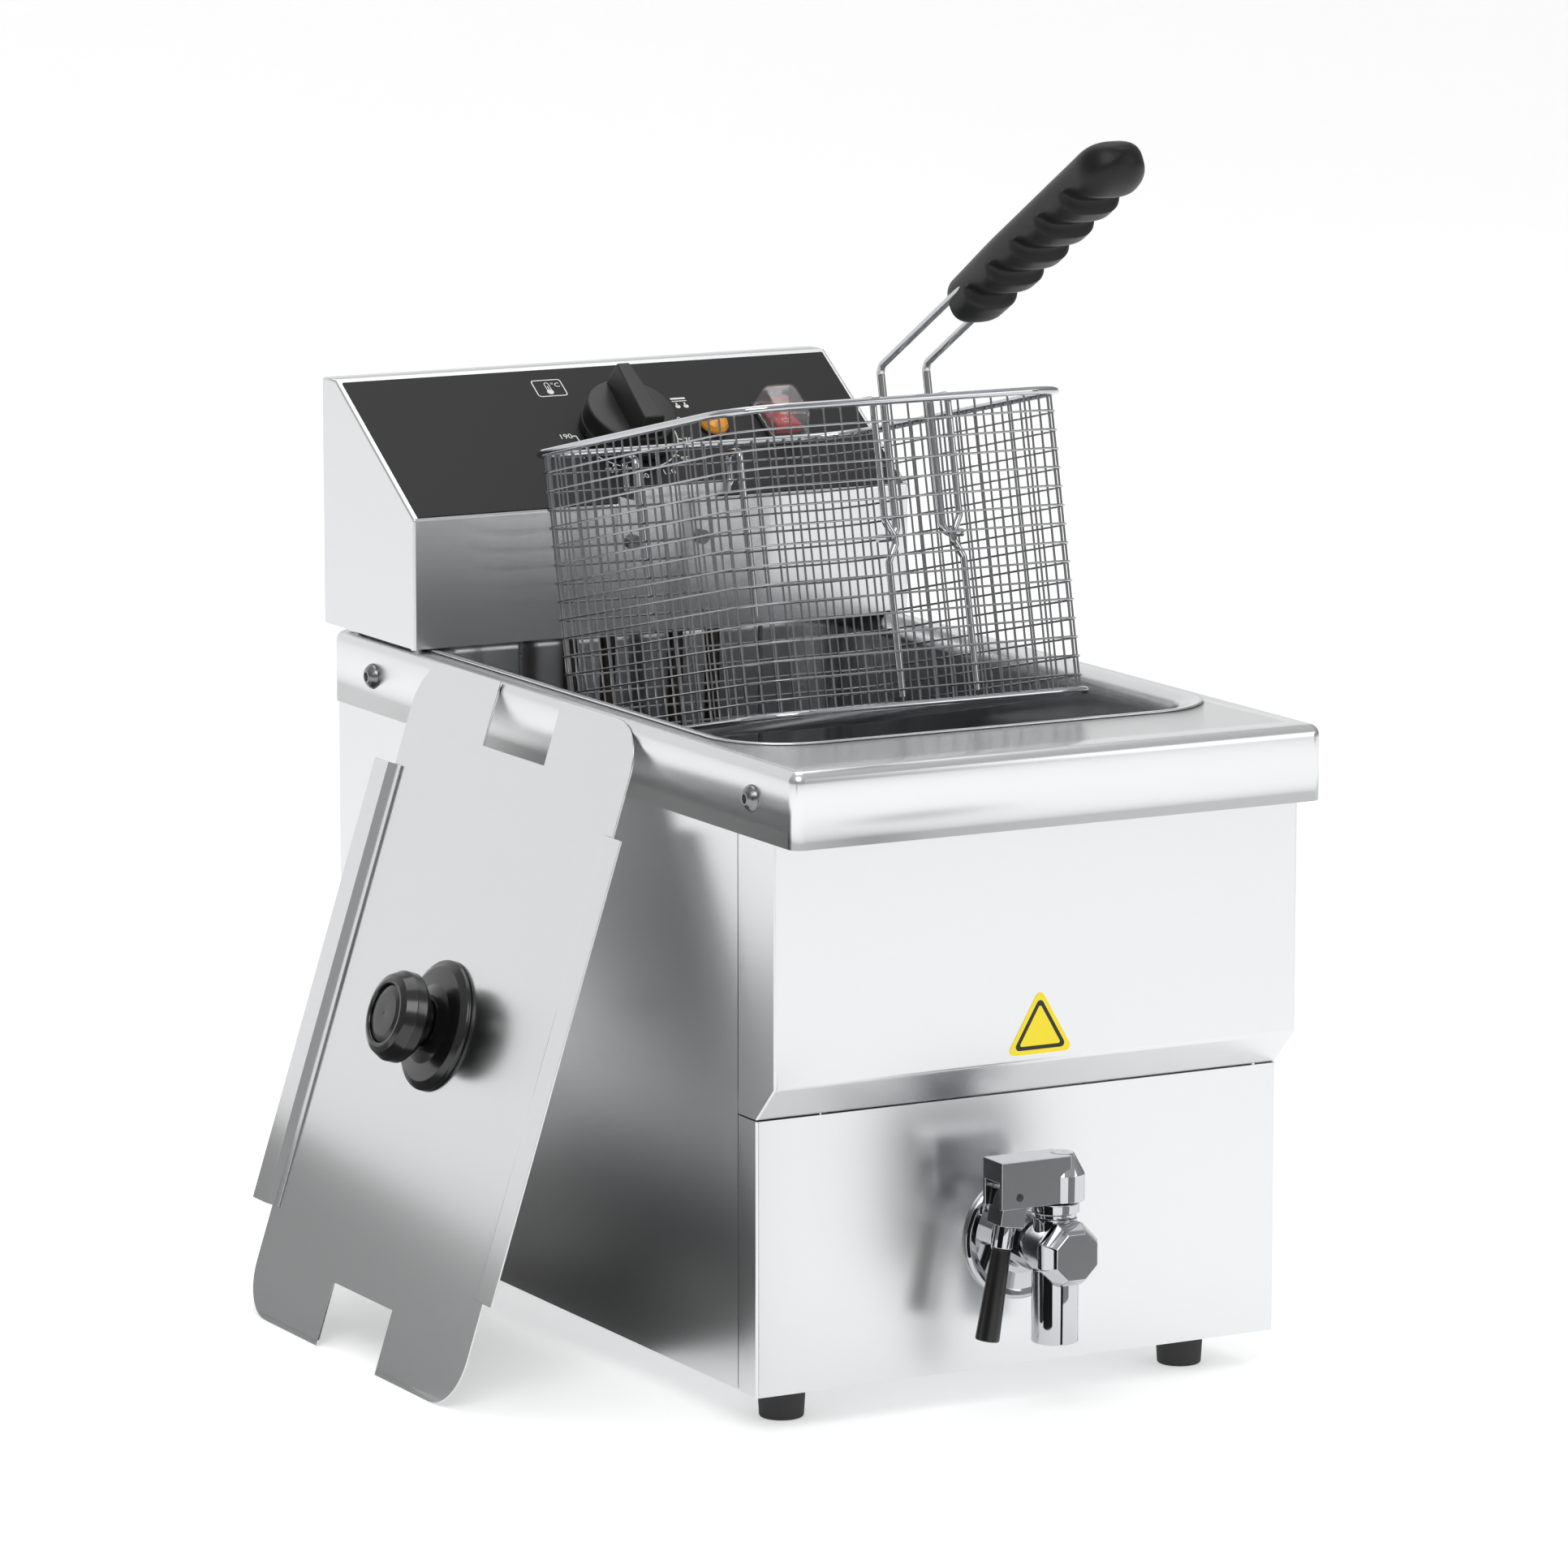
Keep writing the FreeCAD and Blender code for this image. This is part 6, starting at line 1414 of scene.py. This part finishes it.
# Cards: place and what they face, in metres, their size and their tone
CARDS = {
    "left flag": ((-0.37, 0.26, 0.003), (-0.37, 0.26, -1.0), (0.42, 0.62), "#5A5A5A"),
    "lid flag": ((-0.42, 0.34, 0.055), (-0.2, 0.0, 0.055), (0.4, 0.11), "#A8A8A8"),
    "front flag": ((-1.3, -1.2, 0.25), (0, -0.25, 0.1), (0.25, 0.9), "#050505"),
    "right flag": ((1.5, -1.4, 0.3), (0, -0.25, 0.1), (0.4, 1.2), "#050505"),
    "tap left flag": ((-0.118, -0.300, 0.085), (0, -0.245, 0.085), (0.11, 0.165), "#0A0A0A"),
    "tap front flag": ((0.0, -0.300, 0.0375), (0, -0.245, 0.0375), (0.010, 0.075), "#0A0A0A"),
    "tap grey card": ((0.040, -0.349, 0.084), (0.040, -0.245, 0.084), (0.075, 0.09), "#B8B8B8"),
}

# Lights: place in metres, size and power in watts; all face the fryer's middle
LIGHTS = {
    "key": ((-1.6, -2.2, 2.6), (2.2, 1.6), 40),
    "front fill": ((2.4, -2.8, 1.2), (1.8, 1.8), 16),
    "top": ((0.2, 0.6, 2.8), (2.0, 2.0), 18),
}
LIGHT_TARGET = (0, 0, 0.2)


def add_cards():
    """Every card of the table."""
    for name, values in CARDS.items():
        add_flag(name, *values)


def add_lights():
    """Every light of the table."""
    for name, (place, size, power) in LIGHTS.items():
        add_light(name, place, LIGHT_TARGET, size, power)


def add_world():
    """A pale sky, brighter overhead, that the metal mirrors."""
    world = bpy.data.worlds.new("studio")
    bpy.context.scene.world = world
    world.use_nodes = True
    tree = world.node_tree
    places = add(tree, "ShaderNodeTexCoord")
    height = add(tree, "ShaderNodeSeparateXYZ", {"Vector": places.outputs["Generated"]})
    tone = add(tree, "ShaderNodeMapRange",
               {"Value": height.outputs["Z"], "From Min": -0.1, "From Max": 0.9, "To Min": 0.35,
                "To Max": 1.0})
    tree.links.new(tone.outputs[0], tree.nodes["Background"].inputs["Color"])
    tree.nodes["Background"].inputs["Strength"].default_value = 0.62


def add_floor():
    """A plain pale floor that curves up into a wall far behind."""
    finish = textured("studio_paper", linear("#F7F7F7"), linear("#F4F4F4"), (0.8, 0.9), (400, 400, 400),
                      0.001, Emission_Color=(1.0, 1.0, 1.0, 1.0), Emission_Strength=0.38)
    reach = 6000.0
    path = rounded_path([(0, -reach, 0), (0, reach, 0), (0, reach, reach)], 2500.0, 16)
    left = [p + Vector((-reach, 0, 0)) for p in path]
    right = [p + Vector((reach, 0, 0)) for p in path]
    size = len(path)
    faces = [(i, i + 1, size + i + 1, size + i) for i in range(size - 1)]
    floor = build("studio_floor", (left + right, faces), finish)


# ------------------------------------------------------------ settings a user can change
def colour_setting(label, what, value):
    """A colour that a user can change."""
    return bpy.props.FloatVectorProperty(name=label, description="Colour of the " + what, subtype="COLOR",
                                         size=4, default=linear(value), min=0, max=1)


class FryerColours(bpy.types.PropertyGroup):
    """Colours of the finishes."""
    steel: colour_setting("Steel", "stainless sheet", "#DFE0E1")
    chrome: colour_setting("Chrome", "plated pieces", "#C4C5C8")
    plastic: colour_setting("Black plastic", "knobs and the handle", "#121213")
    film: colour_setting("Face film", "speckled film, in the middle of its range", "#18181A")
    rocker: colour_setting("Rocker", "switch's key", "#B3161B")
    amber: colour_setting("Lamp", "pilot lamp's lens", "#E87A12")
    label: colour_setting("Sticker", "triangular sticker", "#F5DF1C")


class FryerSizes(bpy.types.PropertyGroup):
    """Sizes of the detailed pieces, in mm."""
    fold: bpy.props.FloatProperty(
        name="Fold radius", description="Outside radius of the folded sheet edges", default=EDGE,
        min=0.3, max=3.0)
    wire: bpy.props.FloatProperty(
        name="Wire radius", description="Radius of the basket's fine wires", default=0.55, min=0.3,
        max=0.7)
    pitch: bpy.props.FloatProperty(
        name="Wire pitch", description="Distance between the basket's level wires", default=9.3, min=5.0,
        max=20.0)
    rings: bpy.props.IntProperty(
        name="Level wires", description="Number of level wires round the basket", default=15, min=3,
        max=26)
    uprights: bpy.props.IntProperty(
        name="Upright wires", description="Number of upright wires round the basket", default=84, min=20,
        max=160)


class Steps:
    """Runs an operator's steps in order."""
    steps = ()

    def execute(self, context):
        for step in self.steps:
            step()
        return {"FINISHED"}


class FRYER_OT_finishes(Steps, bpy.types.Operator):
    """Give the frame's own nodes their materials"""
    bl_idname = "fryer.finishes"
    bl_label = "Finishes"
    steps = (dress_frame,)


class FRYER_OT_housing(Steps, bpy.types.Operator):
    """Build the front sheets, the drip tray, the tank, the feet and the sticker"""
    bl_idname = "fryer.housing"
    bl_label = "Housing"
    steps = (front_panels, drip_tray, fry_tank, housing_feet, skirt_screws, warning_triangle)


class FRYER_OT_tap(Steps, bpy.types.Operator):
    """Build the drain tap with its lever and its folding grip"""
    bl_idname = "fryer.tap"
    bl_label = "Drain tap"
    steps = (tap_flange, tap_barrel, tap_cap, tap_upright_pieces, tap_handle, folding_grip)


class FRYER_OT_head(Steps, bpy.types.Operator):
    """Build the head's cover, its print, the lamp and the switch"""
    bl_idname = "fryer.head"
    bl_label = "Control head"
    steps = (head_shell, face_print, switch_pieces, lamp_piece)


class FRYER_OT_knob(Steps, bpy.types.Operator):
    """Build the heat knob"""
    bl_idname = "fryer.knob"
    bl_label = "Heat knob"
    steps = (heat_knob,)


class FRYER_OT_basket(Steps, bpy.types.Operator):
    """Build the wire basket with its handle"""
    bl_idname = "fryer.basket"
    bl_label = "Basket"
    steps = (basket_wires, basket_frame, basket_supports, handle_rods, rear_hook, hand_grip)


class FRYER_OT_lid(Steps, bpy.types.Operator):
    """Build the lid with its strips and its knob"""
    bl_idname = "fryer.lid"
    bl_label = "Lid"
    steps = (lid_sheet, lid_strips, lid_knob_pieces)


class FRYER_OT_stage(Steps, bpy.types.Operator):
    """Add the floor, the lights and the camera"""
    bl_idname = "fryer.stage"
    bl_label = "Stage"
    steps = (add_camera, add_world, add_floor, add_cards, add_lights)


OPERATORS = [
    FRYER_OT_finishes,
    FRYER_OT_housing,
    FRYER_OT_tap,
    FRYER_OT_head,
    FRYER_OT_knob,
    FRYER_OT_basket,
    FRYER_OT_lid,
    FRYER_OT_stage,
]


class FRYER_PT_panel(bpy.types.Panel):
    """Lists the pieces and the settings"""
    bl_label = "Fryer"
    bl_idname = "FRYER_PT_panel"
    bl_space_type = "VIEW_3D"
    bl_region_type = "UI"
    bl_category = "Fryer"

    def draw(self, context):
        for operator in OPERATORS:
            self.layout.operator(operator.bl_idname)
        for settings in (context.scene.fryer_sizes, context.scene.fryer_colours):
            for key in type(settings).__annotations__:
                self.layout.prop(settings, key)


CLASSES = [FryerColours, FryerSizes] + OPERATORS + [FRYER_PT_panel]


def register():
    """Register the classes and hang the settings on the scene."""
    for item in CLASSES:
        bpy.utils.register_class(item)
    bpy.types.Scene.fryer_colours = bpy.props.PointerProperty(type=FryerColours)
    bpy.types.Scene.fryer_sizes = bpy.props.PointerProperty(type=FryerSizes)


def unregister():
    """Take the settings and the classes away again."""
    del bpy.types.Scene.fryer_sizes
    del bpy.types.Scene.fryer_colours
    for item in reversed(CLASSES):
        bpy.utils.unregister_class(item)


def main():
    """Build everything in order."""
    register()
    for operator in OPERATORS:
        group, name = operator.bl_idname.split(".")
        getattr(getattr(bpy.ops, group), name)()


if __name__ == "__main__":
    main()
